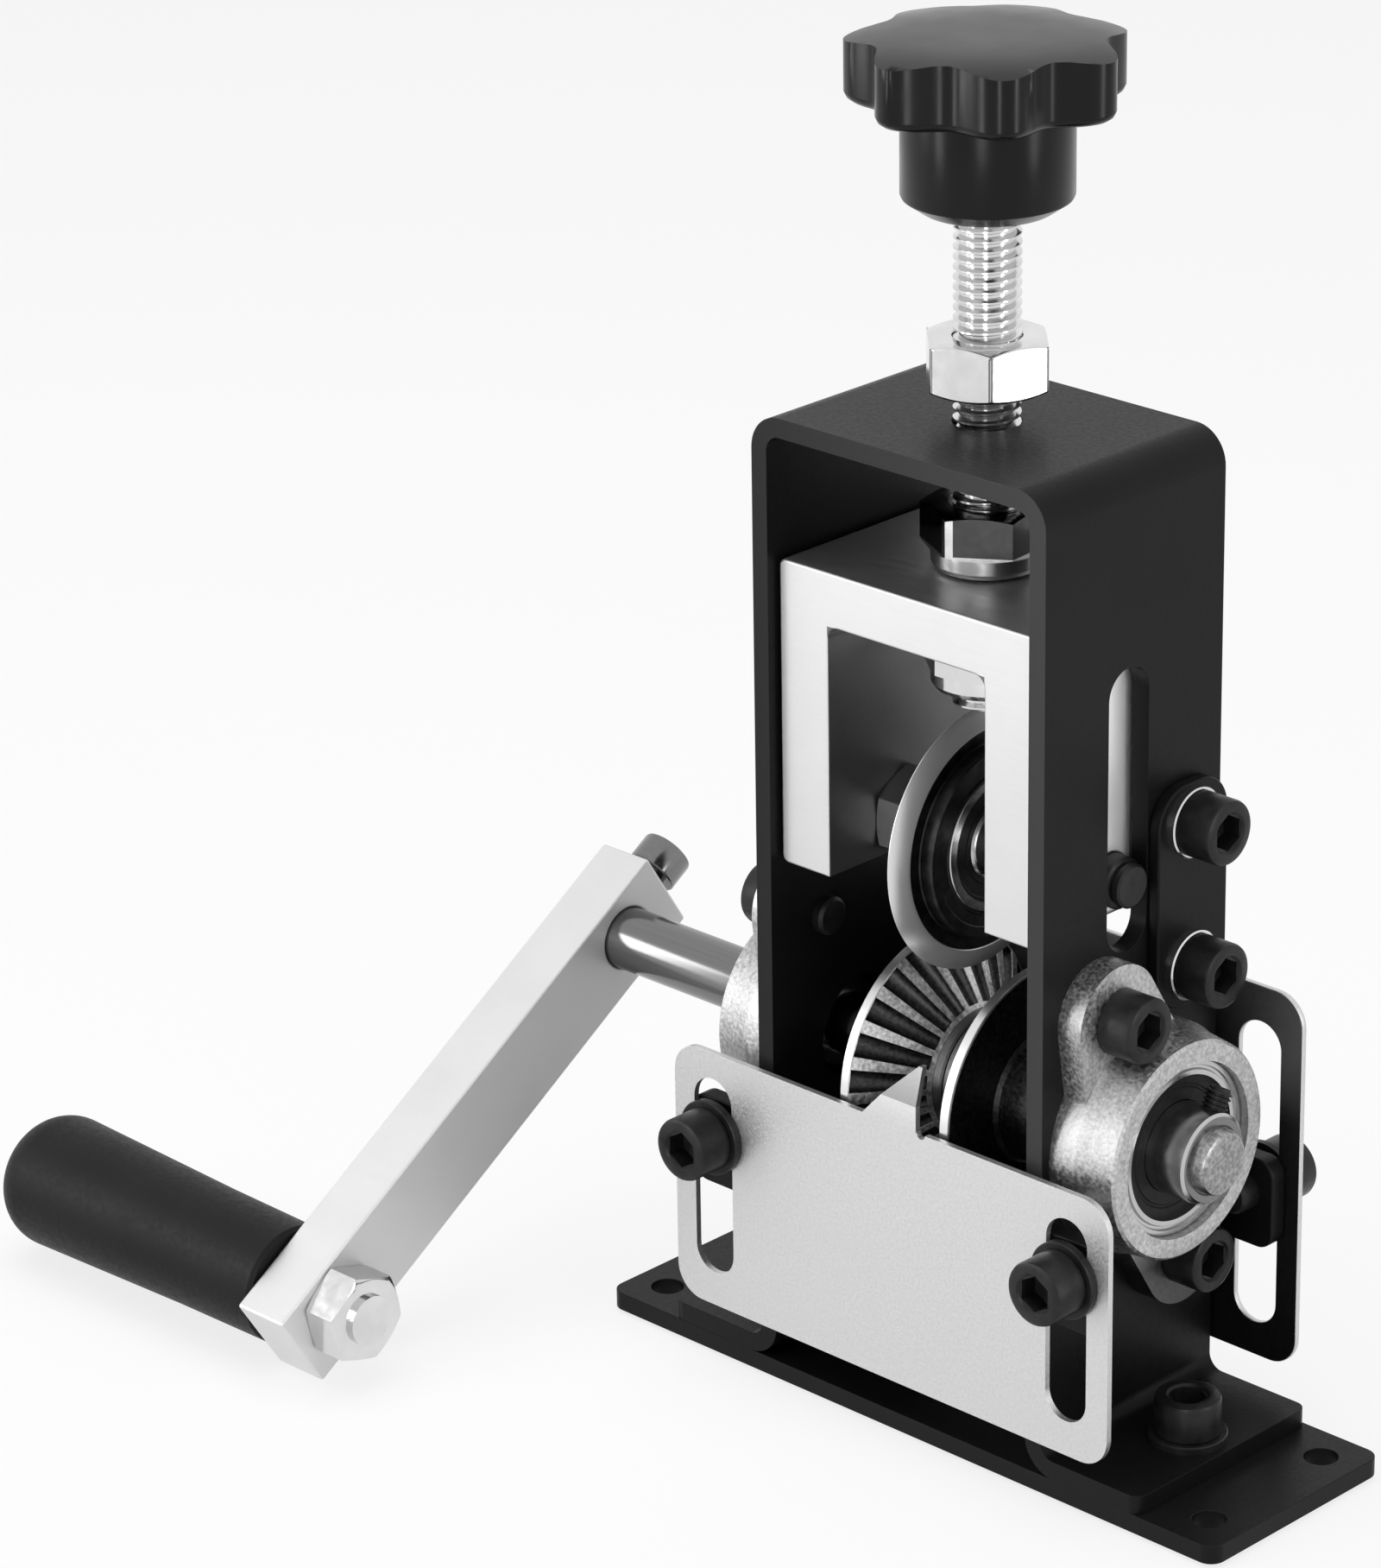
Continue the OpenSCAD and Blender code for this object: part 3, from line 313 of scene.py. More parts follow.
def chosen(piece, kind, test):
    """In edit mode, selects the vertices, edges or faces whose middle passes a test."""
    bpy.ops.mesh.select_mode(type=kind)
    bpy.ops.mesh.select_all(action="DESELECT")
    shape = bmesh.from_edit_mesh(piece.data)
    parts = {"VERT": shape.verts, "EDGE": shape.edges, "FACE": shape.faces}[kind]
    for part in parts:
        corners = [part] if kind == "VERT" else part.verts
        middle = sum((corner.co for corner in corners), Vector()) / len(corners)
        part.select_set(bool(test(middle)))
    shape.select_flush_mode()
    bmesh.update_edit_mesh(piece.data)


def drawn(name, places):
    """Starts a piece in edit mode as a line through places, extruded from one vertex."""
    bpy.ops.object.select_all(action="DESELECT")
    bpy.ops.mesh.primitive_plane_add(size=1, location=(0, 0, 0))
    piece = bpy.context.active_object
    piece.name = name
    bpy.ops.object.mode_set(mode="EDIT")
    bpy.ops.mesh.select_mode(type="VERT")
    bpy.ops.mesh.select_all(action="SELECT")
    bpy.ops.mesh.merge(type="CENTER")
    bpy.ops.transform.translate(value=places[0])
    for here, there in zip(places, places[1:]):
        extruded(there - here)
    return piece


leg_face = 28.3 * mm
skin = 3 * mm
half_depth = 19.5 * mm
foot_top = 6 * mm
foot_end = 47.4 * mm
bridge_top = 155.8 * mm
top_bend = 5.5 * mm
foot_bend = 2.5 * mm
foot_corner = 2 * mm
slot_y = -1.2 * mm
slot_z = 103.4 * mm
slot_width = 8.7 * mm
slot_length = 44 * mm
slot_corner = 4.34 * mm
shaft_height = 52.7 * mm
bearing_hole_r = 8.5 * mm
spindle_hole_r = 5.08 * mm
nearby = 1 * mm
hands = {"left": -1, "right": 1}
strip = [
    (-foot_end, foot_top), (-leg_face, foot_top), (-leg_face, bridge_top),
    (leg_face, bridge_top), (leg_face, foot_top), (foot_end, foot_top)]
bridge = drawn("bent_bridge", [Vector((x, -half_depth, z)) for x, z in strip])
chosen(bridge, "VERT", lambda p: p.z > bridge_top - nearby)
bpy.ops.mesh.bevel(offset=top_bend, segments=12, affect="VERTICES")
chosen(bridge, "VERT", lambda p: p.z < foot_top + nearby and abs(p.x) < leg_face + nearby)
bpy.ops.mesh.bevel(offset=foot_bend, segments=10, affect="VERTICES")
bpy.ops.mesh.select_mode(type="VERT")
bpy.ops.mesh.select_all(action="SELECT")
extruded((0, 2 * half_depth, 0))
chosen(bridge, "VERT", lambda p: abs(p.x) > foot_end - nearby)
bpy.ops.mesh.bevel(offset=foot_corner, segments=8, affect="VERTICES")
closed()
modified(bridge, "SOLIDIFY", thickness=skin, offset=-1, use_even_offset=True)
for side in hands.values():
    mid_leg = side * (leg_face - skin / 2)
    inside = (side * (leg_face - skin - past), 0, shaft_height)
    outside = (side * (leg_face + past), 0, shaft_height)
    cut(bridge,
        slab("slot_cutter", (mid_leg, slot_y, slot_z), slot_width, slot_length, skin + past, "X",
             slot_corner),
        rod("hole_cutter", inside, outside, bearing_hole_r))
cut(bridge, rod("hole_cutter", (0, 0, bridge_top - skin - past), (0, 0, bridge_top + past), spindle_hole_r))
softened(bridge, 0.4 * mm)
fitted(bridge, "root", "powder_black", coat, "frame")

# Four lugs stand out from the legs, welded on edge. Each is a small steel plate with rounded corners,
# coated with the bridge, and holds one screw of a guide plate.

lug_x = 33.4 * mm
lug_z = 37.25 * mm
lug_width = 15.2 * mm
lug_height = 14.5 * mm
lug_thick = 3 * mm
lug_corner = 2.9 * mm
for hand, side in hands.items():
    for word, lug_y in (("front", -19.6 * mm), ("rear", 19.4 * mm)):
        lug = slab(f"lug_{word}_{hand}", (side * lug_x, lug_y, lug_z), lug_width, lug_height, lug_thick, "Y",
                   lug_corner)
        softened(lug, 0.35 * mm)
        fitted(lug, "root", "powder_black", coat, "guide_lugs")

# The socket screws are black oxide steel. One in each foot and two in each bearing housing are of
# the large kind with a 10 mm head, and so are those of the guide plates and the side plate.

oxide = Finish("black_oxide", 0.25)
stains = oxide.noise(260, 5)
oxide.colour(oxide.mix(oxide.ramp(stains, 0.35, 0.75), grey(0.012), grey(0.03)))
oxide.shine(0.2)
oxide.rough(oxide.ramp(oxide.noise(900, 3), 0.3, 0.7, 0.3, 0.44))
oxide.bump(oxide.noise(3500, 2), 0.012 * mm)


def in_mm(*points):
    """The points of a profile that is written in millimetres."""
    return [(along * mm, radius * mm) for along, radius in points]


def turned(name, profile, centre, way, steps=96):
    """Spins (distance along the axis, radius) points about an axis, as on a lathe."""
    way = Vector(way).normalized()
    aside = way.orthogonal().normalized()
    centre = Vector(centre)
    piece = drawn(name, [centre + way * along + aside * radius for along, radius in profile])
    bpy.ops.mesh.select_all(action="SELECT")
    bpy.ops.mesh.spin(steps=steps, angle=2 * math.pi, center=centre, axis=way)
    closed(merge=0.002 * mm)
    return smooth(piece)


def joined(piece, *others):
    return combined(piece, "UNION", others)


def socket_screw(name, seat, way, length, shank=3 * mm, head_r=5 * mm, head_h=6 * mm, socket_af=5 * mm):
    """A cap screw whose head stands on a seat and points along a way, with a six-sided socket."""
    seat = Vector(seat)
    way = Vector(way).normalized()
    edge = 0.09 * head_r
    tip = 0.5 * mm
    lip = 0.35 * mm
    socket_r = socket_af / math.sqrt(3)
    bottom = head_h * 0.45
    head = turned(name, [
        (-length, 0), (-length, shank - tip), (tip - length, shank), (0, shank), (0, head_r - edge / 2),
        (edge / 2, head_r), (head_h - edge * 1.4, head_r), (head_h - edge * 0.5, head_r - edge * 0.35),
        (head_h, head_r - edge * 1.4), (head_h, socket_r + lip), (head_h - lip, socket_r),
        (bottom, socket_r), (bottom - 0.8 * mm, 0)], seat, way, 72)
    sleeve_low = seat + way * (bottom - 0.5 * mm)
    sleeve_high = seat + way * (head_h - 0.4 * mm)
    sleeve = rod("sleeve", sleeve_low, sleeve_high, socket_r + 0.3 * mm, 48)
    cut(sleeve, rod("key", seat + way * (bottom - 2 * mm), seat + way * (head_h + 2 * mm), socket_r, 6))
    return smooth(joined(head, sleeve))


washer_thick = 1.2 * mm


def washer(name, seat, way, bore=3.2 * mm, outer=6 * mm, thick=washer_thick):
    """A flat ring on a seat, chamfered on the side that shows."""
    edge = 0.2 * mm
    return turned(name, [
        (0, bore), (0, outer), (thick - edge, outer), (thick, outer - edge), (thick, bore), (0, bore)],
        seat, way, 72)


foot_screw_x = 40.3 * mm
for hand, side in hands.items():
    screw = socket_screw(f"foot_screw_{hand}", (side * foot_screw_x, 0, foot_top + washer_thick), (0, 0, 1),
                         length=7 * mm)
    fitted(screw, "root", "black_oxide", oxide, "foot_screws")
    foot_washer = washer(f"foot_washer_{hand}", (side * foot_screw_x, 0, foot_top), (0, 0, 1))
    fitted(foot_washer, "root", "black_oxide", oxide, "foot_washers")

# The spindle is a length of plated M10 rod with its thread rolled all along. It runs in the frame's
# top, carries the knob at its upper end and the carrier at its lower end.


def between(value, low, high):
    return (value > low) * (value < high)


plated = Finish("bright_plating", 1.0)
rod_height = plated.along("Z")
from_rod = plated.radius("X", "Y", (0, 0))
# The upper carrier nut is painted near black on its faces and top, a painted dark reflection; a narrow band
# of its corners keeps the plain silver as a painted highlight.
bright_corner = (from_rod > 9.3 * mm) * between(plated.along("X"), -2 * mm, 3 * mm)
upper_nut_painted_dark = between(rod_height, 137.7 * mm, 143.75 * mm) * (from_rod > 5.6 * mm) * (1 - bright_corner)
# The lock nut's corners are painted a darker grey: painted shade.
lock_corner_painted_shade = between(rod_height, 160.9 * mm, 168.6 * mm) * (from_rod > 9.6 * mm)
silver = plated.mix(plated.ramp(plated.noise(120, 4), 0.3, 0.7), grey(0.62), grey(0.74))
plated.colour(plated.mix(lock_corner_painted_shade, plated.mix(upper_nut_painted_dark, silver, grey(0.07)), grey(0.2)))
plated.rough(plated.ramp(plated.noise(700, 3), 0.3, 0.75, 0.1, 0.2))
plated.bump(plated.noise(500, 2), 0.006 * mm)

crest = 4.97 * mm
root = 4.12 * mm
pitch = 1.5 * mm
low_end = 112.5 * mm
high_end = 205.9 * mm
tooth_shares = [(root, 0), (root, 0.22), (crest, 0.52), (crest, 0.70), (root, 1)]
start = low_end - 2 * pitch
tooth = [Vector((radius, 0, start + share * pitch)) for radius, share in tooth_shares]
spindle = drawn("rolled_spindle", tooth)
bpy.ops.object.mode_set(mode="OBJECT")
turns = round((high_end - low_end) / pitch) + 4
modified(spindle, "SCREW", axis="Z", angle=2 * math.pi, screw_offset=pitch, iterations=turns, steps=28,
         render_steps=28, use_merge_vertices=True, merge_threshold=0.005 * mm)
only(spindle)
bpy.ops.object.mode_set(mode="EDIT")
for end_height, below in ((low_end, True), (high_end, False)):
    bpy.ops.mesh.select_all(action="SELECT")
    bpy.ops.mesh.bisect(plane_co=(0, 0, end_height), plane_no=(0, 0, 1), use_fill=True,
                        clear_inner=below, clear_outer=not below)
closed(merge=0.004 * mm)
smooth(spindle, 50)
fitted(spindle, "spindle", "chrome_steel", plated, "threaded_spindle")

# The knob is moulded in glossy black plastic: a star of seven soft lobes with a domed top, on a round
# hub whose lower edge is bevelled. It is pressed on the spindle's upper end.


def kept_inside(piece, blank):
    """Takes away what lies outside a blank, which is used up."""
    return combined(piece, "INTERSECT", [blank])


moulded = Finish("glossy_moulding")
moulded.colour(moulded.mix(moulded.noise(60, 3), grey(0.005), grey(0.008)))
moulded.rough(moulded.ramp(moulded.noise(160, 4), 0.3, 0.7, 0.19, 0.27))
moulded.bump(moulded.noise(120, 2), 0.02 * mm)
moulded.shine(0.18)

star_bottom = 202.5 * mm
star_reach = 18.55 * mm
star_steps = 168
lobes = 7
lobe_reach = 1.93 * mm
lobe_turn = math.radians(9.5)
outline = []
for step in range(star_steps):
    around = step * 2 * math.pi / star_steps
    reach = star_reach + lobe_reach * math.cos(lobes * (around - lobe_turn))
    outline.append(Vector((reach * math.cos(around), reach * math.sin(around), star_bottom)))
star = drawn("star_knob_moulding", outline)
bpy.ops.mesh.select_all(action="SELECT")
bpy.ops.mesh.edge_face_add()
rise, size = 0.0, 0.9
bpy.ops.transform.resize(value=(size, size, 1), center_override=(0, 0, star_bottom))
for next_rise, next_size in ((0.25, 0.94), (0.8, 0.98), (1.6, 1.0), (11, 1.0)):
    extruded((0, 0, (next_rise - rise) * mm))
    bpy.ops.transform.resize(value=(next_size / size, next_size / size, 1), center_override=(0, 0, 0))
    rise, size = next_rise, next_size
closed()

dome_reach = 20.6 * mm
dome_height = 10.5 * mm
dome_fall = 1.5 * mm
dome_steps = 12
dome = [(-1 * mm, 0), (-1 * mm, dome_reach)]
for step in range(dome_steps, -1, -1):
    share = step / dome_steps
    dome.append((dome_height - dome_fall * share ** 4, dome_reach * share))
kept_inside(star, turned("crown", dome, (0, 0, star_bottom), (0, 0, 1), 120))
softened(star, 0.5 * mm, segments=4, angle=38)

hub_bottom = 187.4 * mm
joined(star, turned("hub", in_mm(
    (0, 5.3), (0, 9.5), (0.3, 10), (1.9, 12.3), (2.4, 12.5), (18, 12.5), (18, 5.3), (0, 5.3)),
    (0, 0, hub_bottom), (0, 0, 1)))
smooth(star, 40)
fitted(star, "spindle", "gloss_black", moulded, "star_knob")

# The lock nut is a plain plated M10 nut, chamfered on both faces. It can be tightened on the frame's
# top to hold the cutting depth.


def about(centre, angle, axis):
    """The turn by an angle about an axis through a centre."""
    centre = Vector(centre)
    return Matrix.Translation(centre) @ Matrix.Rotation(angle, 4, axis) @ Matrix.Translation(-centre)


def hex_nut(name, across_flats, height, bore, seat, way, turn, collar=0.0, collar_r=0.0):
    """A chamfered nut standing on a seat, with a round collar below its six sides if it has one."""
    seat = Vector(seat)
    way = Vector(way).normalized()
    corner = across_flats / math.sqrt(3)
    blank = rod(name, seat + way * collar, seat + way * height, corner, 6)
    blank.matrix_world = about(seat, math.radians(turn), way)
    settled(blank)
    chamfer = 0.42 * (corner - across_flats / 2) + 0.1 * mm
    face = across_flats / 2 * 0.97
    kept_inside(blank, turned("chamfered_round", [
        (collar, 0), (collar, face), (collar + chamfer, corner), (height - chamfer, corner), (height, face),
        (height, 0)], seat, way))
    if collar:
        collar_top = collar + 0.6 * mm
        joined(blank, turned("collar", [
            (0, 0), (0, collar_r - 1.4 * mm), (0.4 * mm, collar_r - 0.5 * mm), (1.2 * mm, collar_r),
            (collar_top, collar_r), (collar_top, 0)], seat, way))
    cut(blank, rod("bore", seat - way * 1 * mm, seat + way * (height + 1 * mm), bore))
    return softened(blank, 0.45 * mm, segments=3, angle=25)


m10_flats = 17 * mm
lock_nut_seat = 160.8 * mm
nut = hex_nut("spindle_lock_nut", m10_flats, 8 * mm, spindle_hole_r, (0, 0, lock_nut_seat), (0, 0, 1), -15)
fitted(nut, "lock_nut", "chrome_steel", plated, "lock_nut")

# Two nuts with nylon inserts clamp the carrier's crosspiece from above and below, so that it hangs
# on the spindle and follows it up and down.

for word, nut_seat, nut_turn in (("upper", 133.7 * mm, 4), ("lower", 115.1 * mm, -8)):
    nut = hex_nut(f"{word}_carrier_nut", m10_flats, 10 * mm, 5 * mm, (0, 0, nut_seat), (0, 0, 1), nut_turn,
                  collar=3.2 * mm, collar_r=8.2 * mm)
    fitted(nut, "spindle", "chrome_steel", plated, f"{word}_nylock")
nylon = Finish("insert_nylon")
nylon.colour(nylon.mix(nylon.noise(300, 3), grey(0.6), grey(0.72)))
nylon.rough(0.5)
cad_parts["nylock_inserts"].material_slots[0].material = nylon.material

# The carrier is a milled aluminium block in the shape of an upside-down U, with a fine satin finish.
# It slides between the legs and holds the blade's axle. The crank's arm has the same finish.

milled = Finish("satin_aluminium", 1.0)
lines = milled.noise(2600, 3, (0.06, 1, 1))
block_x = milled.along("X")
block_z = milled.along("Z")
# The carrier's hollow is painted dark grey: painted shade inside the block.
in_hollow = (abs(block_x) < 15.3 * mm) * (block_z < 125.3 * mm)
# The carrier's top is painted a darker grey: painted shade under the bridge.
top_painted_shade = block_z > 133.5 * mm
# The carrier's flanks are painted near white: a painted highlight where they show through the slots.
flank_painted_light = between(abs(block_x), 24.7 * mm, 30 * mm)
on_crank = block_x < -70 * mm
inside_crank = (block_x > -75.5 * mm) * on_crank
cloud = milled.ramp(milled.noise(60, 4), 0.3, 0.7)
# The carrier's satin is painted darker than the crank's: one finish in shaded and lit copies, which is
# painted light.
carrier_satin_painted_darker = milled.mix(cloud, grey(0.57), grey(0.6))
crank_satin_painted_lighter = milled.mix(cloud, grey(0.72), grey(0.77))
satin = milled.mix(flank_painted_light, milled.mix(on_crank, carrier_satin_painted_darker, crank_satin_painted_lighter), grey(0.94))
painted_hollow_shade = milled.mix(cloud, grey(0.13), grey(0.16))
milled.metal(1 - 0.6 * inside_crank)
milled.colour(milled.mix(in_hollow, milled.mix(top_painted_shade, satin, grey(0.45)), painted_hollow_shade))
milled.rough(milled.ramp(lines, 0.3, 0.7, 0.42, 0.52))
milled.bump(lines, 0.004 * mm)

carrier_width = 49.6 * mm
carrier_height = 47.9 * mm
carrier_depth = 35.2 * mm
carrier_top = 133.6 * mm
carrier_corner = 1.2 * mm
hollow_width = 30.4 * mm
hollow_height = 60 * mm
hollow_top = 125.2 * mm
hollow_corner = 2 * mm
axle_place = (0, -0.9 * mm, 91.7 * mm)
axle_bore = 4.02 * mm
carrier = slab("milled_carrier", (0, 0, carrier_top - carrier_height / 2), carrier_width, carrier_height,
               carrier_depth, "Y", carrier_corner)
axle_end = Vector((carrier_width / 2 + past, 0, 0))
cut(carrier,
    slab("hollow_cutter", (0, 0, hollow_top - hollow_height / 2), hollow_width, hollow_height,
         carrier_depth + past, "Y", hollow_corner),
    rod("hole_cutter", (0, 0, hollow_top - past), (0, 0, carrier_top + past), spindle_hole_r),
    rod("hole_cutter", Vector(axle_place) - axle_end, Vector(axle_place) + axle_end, axle_bore))
softened(carrier, 0.4 * mm)
fitted(carrier, "carrier", "satin_aluminium", milled, "carrier")

# The blade's axle is a black steel pin with a grooved, narrower nose at each end, which runs in the
# leg's slot. Plated nuts and spacers on it keep the blade in the middle.


def mirrored(profile):
    """The same profile on the other side of the middle, in the order that carries on its line."""
    return [(-along, radius) for along, radius in reversed(profile)]


nose = in_mm(
    (29.2, 0), (29.2, 3.0), (28.95, 3.35), (28.1, 3.35), (27.9, 3.0), (27.5, 3.0), (27.4, 3.6), (27.1, 3.98))
axle = turned("black_axle", nose + mirrored(nose), axle_place, (1, 0, 0), 72)
fitted(axle, "carrier", "black_oxide", oxide, "blade_axle")
for node in ("axle_nuts", "axle_spacers"):
    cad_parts[node].material_slots[0].material = plated.material

# The cutting wheel is hardened steel, nearly black, with turned rings on its faces and a bright ground
# edge. A sealed ball bearing is pressed into it and turns on the axle.


def both_sides(profile):
    """The closed profile of a ring, given the half of it on one side of its middle."""
    whole = mirrored(profile) + profile
    return [*whole, whole[0]]


steel = Finish("blade_steel", 1.0)
from_axis = steel.radius("Y", "Z", axle_place[1:])
ground = from_axis > 17.2 * mm
ring_settings = {"W": from_axis, "Scale": 2600, "Detail": 2}
rings = steel.node("ShaderNodeTexNoise", {"noise_dimensions": "1D"}, ring_settings)
mottle = steel.noise(420, 5)
face_colour = steel.mix(steel.ramp(mottle, 0.35, 0.7), grey(0.02), grey(0.05))
steel.colour(steel.mix(ground, face_colour, grey(0.85)))
steel.metal(1 - 0.35 * ground)
steel.rough(steel.mix(ground, grey(0.42), grey(0.27)))
steel.bump(rings, 0.003 * mm)
blade = turned("cutting_wheel", both_sides(in_mm(
    (0.05, 20.5), (1.5, 17.9), (1.5, 17.3), (1.35, 17.1), (1.35, 15.3), (1.5, 15.1), (3.2, 15), (3.5, 14.7),
    (3.5, 13.2), (3.35, 13.05), (3.35, 11.4), (3.5, 11.2), (3.5, 11.0))), axle_place, (1, 0, 0), 160)
fitted(blade, "blade", "blade_steel", steel, "blade_wheel")

race = Finish("bearing_steel", 1.0)
# The end faces of the bearing collars are painted dark grey: painted shade.
collar_end_painted_shade = abs(race.along("X")) > 44.3 * mm
shiny = race.mix(race.noise(300, 3), grey(0.46), grey(0.54))
race.colour(race.mix(collar_end_painted_shade, shiny, grey(0.2)))
race.rough(race.ramp(race.noise(900, 3), 0.3, 0.7, 0.2, 0.27))
half_ring = 3.5 * mm
ring_edge = 0.3 * mm
for word, bore, outer, body, node in (
        ("race", 9.4 * mm, 11 * mm, "blade", "blade_bearing_outer"),
        ("core", 4 * mm, 6 * mm, "carrier", "blade_bearing_inner")):
    ring = turned(f"blade_bearing_{word}", both_sides([
        (half_ring - ring_edge, outer), (half_ring, outer - ring_edge), (half_ring, bore)]),
        axle_place, (1, 0, 0))
    fitted(ring, body, "bearing_steel", race, node)

sealing = Finish("seal_rubber")
sealing.colour(sealing.mix(sealing.noise(500, 4), grey(0.008), grey(0.014)))
sealing.shine(0.15)
sealing.rough(sealing.ramp(sealing.noise(900, 2), 0.3, 0.7, 0.4, 0.55))
sealing.bump(sealing.noise(2500, 2), 0.01 * mm)
for hand, side in hands.items():
    seal = turned(f"blade_seal_{hand}", in_mm(
        (2.7, 6.1), (2.7, 9.4), (3.2, 9.4), (3.2, 8.9), (3.05, 8.7), (3.05, 7), (3.2, 6.8), (3.2, 6.1),
        (2.7, 6.1)), axle_place, (side, 0, 0))
    fitted(seal, "blade", "seal_black", sealing, "blade_bearing_seals")

# The drive shaft is drawn steel bar. It runs through both bearings and both rollers, ends in the
# crank arm on the left and shows its bare, chamfered end on the right.

bar = Finish("drawn_steel", 1.0)
speckle = bar.noise(1500, 4)
streaks = bar.noise(2000, 2, (0.02, 1, 1))
bare_end = bar.along("X") > 40 * mm
speckled_end = bar.mix(bar.ramp(speckle, 0.35, 0.7), grey(0.2), grey(0.42))
bar.colour(bar.mix(bare_end, bar.mix(streaks, grey(0.17), grey(0.22)), speckled_end))
bar.rough(bar.mix(bare_end, bar.mix(streaks, grey(0.15), grey(0.21)), grey(0.33)))
bar.bump(bar.mix(bare_end, streaks, speckle), 0.004 * mm)
shaft_centre = (0, 0, shaft_height)
shaft = turned("drawn_shaft", in_mm(
    (-85.4, 0), (-85.4, 4.6), (-85, 5), (45.7, 5), (46.2, 4.7), (46.5, 4), (46.5, 0)),
    shaft_centre, (1, 0, 0), 72)
fitted(shaft, "drive", "shaft_steel", bar, "drive_shaft")

# The two feed rollers are cast and turned: a cone with cut grooves between narrow ribs, a smooth rim
# and a hub with a set screw. They face each other on the shaft, and their cones form a V.

toothed = Finish("toothed_zinc", 1.0)
along_shaft = toothed.along("X")
from_middle = abs(along_shaft)
from_shaft = toothed.radius("Y", "Z", shaft_centre[1:])
grain = toothed.noise(1700, 4)
speckled = toothed.mix(toothed.ramp(grain, 0.35, 0.7), grey(0.45), grey(0.95))
below_ribs = (from_shaft < (from_middle - 1.6 * mm) * 1.368 + 9.7 * mm) * (from_shaft < 20.25 * mm)
# The grooves and the rollers' outer faces are painted near black, and the right roller below its rim and the
# core between the rollers dark grey: painted shade.
in_groove = below_ribs * between(from_middle, 1.65 * mm, 10.6 * mm)
on_rim = (from_shaft > 20.3 * mm) * (from_middle > 9 * mm)
on_side = (from_middle > 10.85 * mm) * (from_shaft < 20.2 * mm)
shaded = (along_shaft > -1.65 * mm) * (from_shaft < 20.3 * mm)
ribbed = toothed.mix(shaded, speckled, grey(0.13))
groove_and_side_painted_shade = toothed.mix(toothed.ramp(grain, 0.3, 0.8), grey(0.03), grey(0.09))
toothed.colour(toothed.mix(in_groove + on_side, toothed.mix(on_rim, ribbed, grey(0.75)), groove_and_side_painted_shade))
toothed.rough(toothed.mix(on_rim, toothed.ramp(grain, 0.3, 0.7, 0.34, 0.5), grey(0.3)))
toothed.bump(toothed.mix(on_rim + in_groove, grain, grey(0.5)), 0.04 * mm)


def gathered(pieces):
    """Makes pieces one object, the first, without cutting them."""
    only(pieces[0])
    for piece in pieces:
        piece.select_set(True)
    bpy.ops.object.join()
    return pieces[0]


grooves = 22
groove_turn = math.radians(8.9)
groove_low_r = 1.12 * mm
groove_high_r = 1.9 * mm
for hand, side in hands.items():
    roller = turned(f"{hand}_feed_roller", in_mm(
        (0.1, 5), (0.1, 9.7), (0.4, 10), (1.6, 10), (9.2, 20.4), (10.6, 20.4), (10.9, 20.1), (10.9, 10.6),
        (11.5, 10), (17, 10), (17.4, 9.6), (17.4, 5), (0.1, 5)), shaft_centre, (side, 0, 0), 176)
    groove_low = Vector((side * 2.0 * mm, 0, shaft_height + 10.8 * mm))
    groove_high = Vector((side * 9.0 * mm, 0, shaft_height + 20.25 * mm))
    run = groove_high - groove_low
    cutters = []
    for number in range(grooves):
        bpy.ops.object.select_all(action="DESELECT")
        bpy.ops.mesh.primitive_cone_add(
            vertices=16, radius1=groove_low_r, radius2=groove_high_r, depth=run.length,
            location=groove_low + run / 2, rotation=run.to_track_quat("Z", "Y").to_euler())
        cutter = bpy.context.active_object
        angle = groove_turn + (number + 0.5) * 2 * math.pi / grooves
        cutter.matrix_world = about(shaft_centre, angle, "X") @ cutter.matrix_world
        cutters.append(settled(cutter))
    cut(roller, gathered(cutters))
    smooth(roller, 30)
    fitted(roller, "drive", "cast_zinc", toothed, f"{hand}_roller")
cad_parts["roller_set_screws"].material_slots[0].material = oxide.material

# Each bearing housing is a rough zinc casting with two ears that lean by 20 degrees, screwed to the
# leg's outer face. Its machined mouth holds the bearing.

casting = Finish("zinc_casting", 1.0)
pits = casting.noise(1700, 4)
# Below 31 mm the casting is painted near black, fading into its own pitted grey by 39 mm: painted shade on
# the lower ears.
shade_fading_upward = casting.ramp(casting.along("Z"), 31 * mm, 39 * mm)
cast = casting.mix(casting.ramp(pits, 0.35, 0.72), grey(0.36), grey(0.62))
casting.colour(casting.mix(shade_fading_upward, grey(0.1), cast))
casting.rough(casting.ramp(pits, 0.3, 0.7, 0.34, 0.55))
casting.bump(pits, 0.05 * mm)


def housing_seat(side):
    """The middle of a housing's seat on the leg, and the way out from it."""
    return Vector((side * leg_face, 0, shaft_height)), Vector((side, 0, 0))


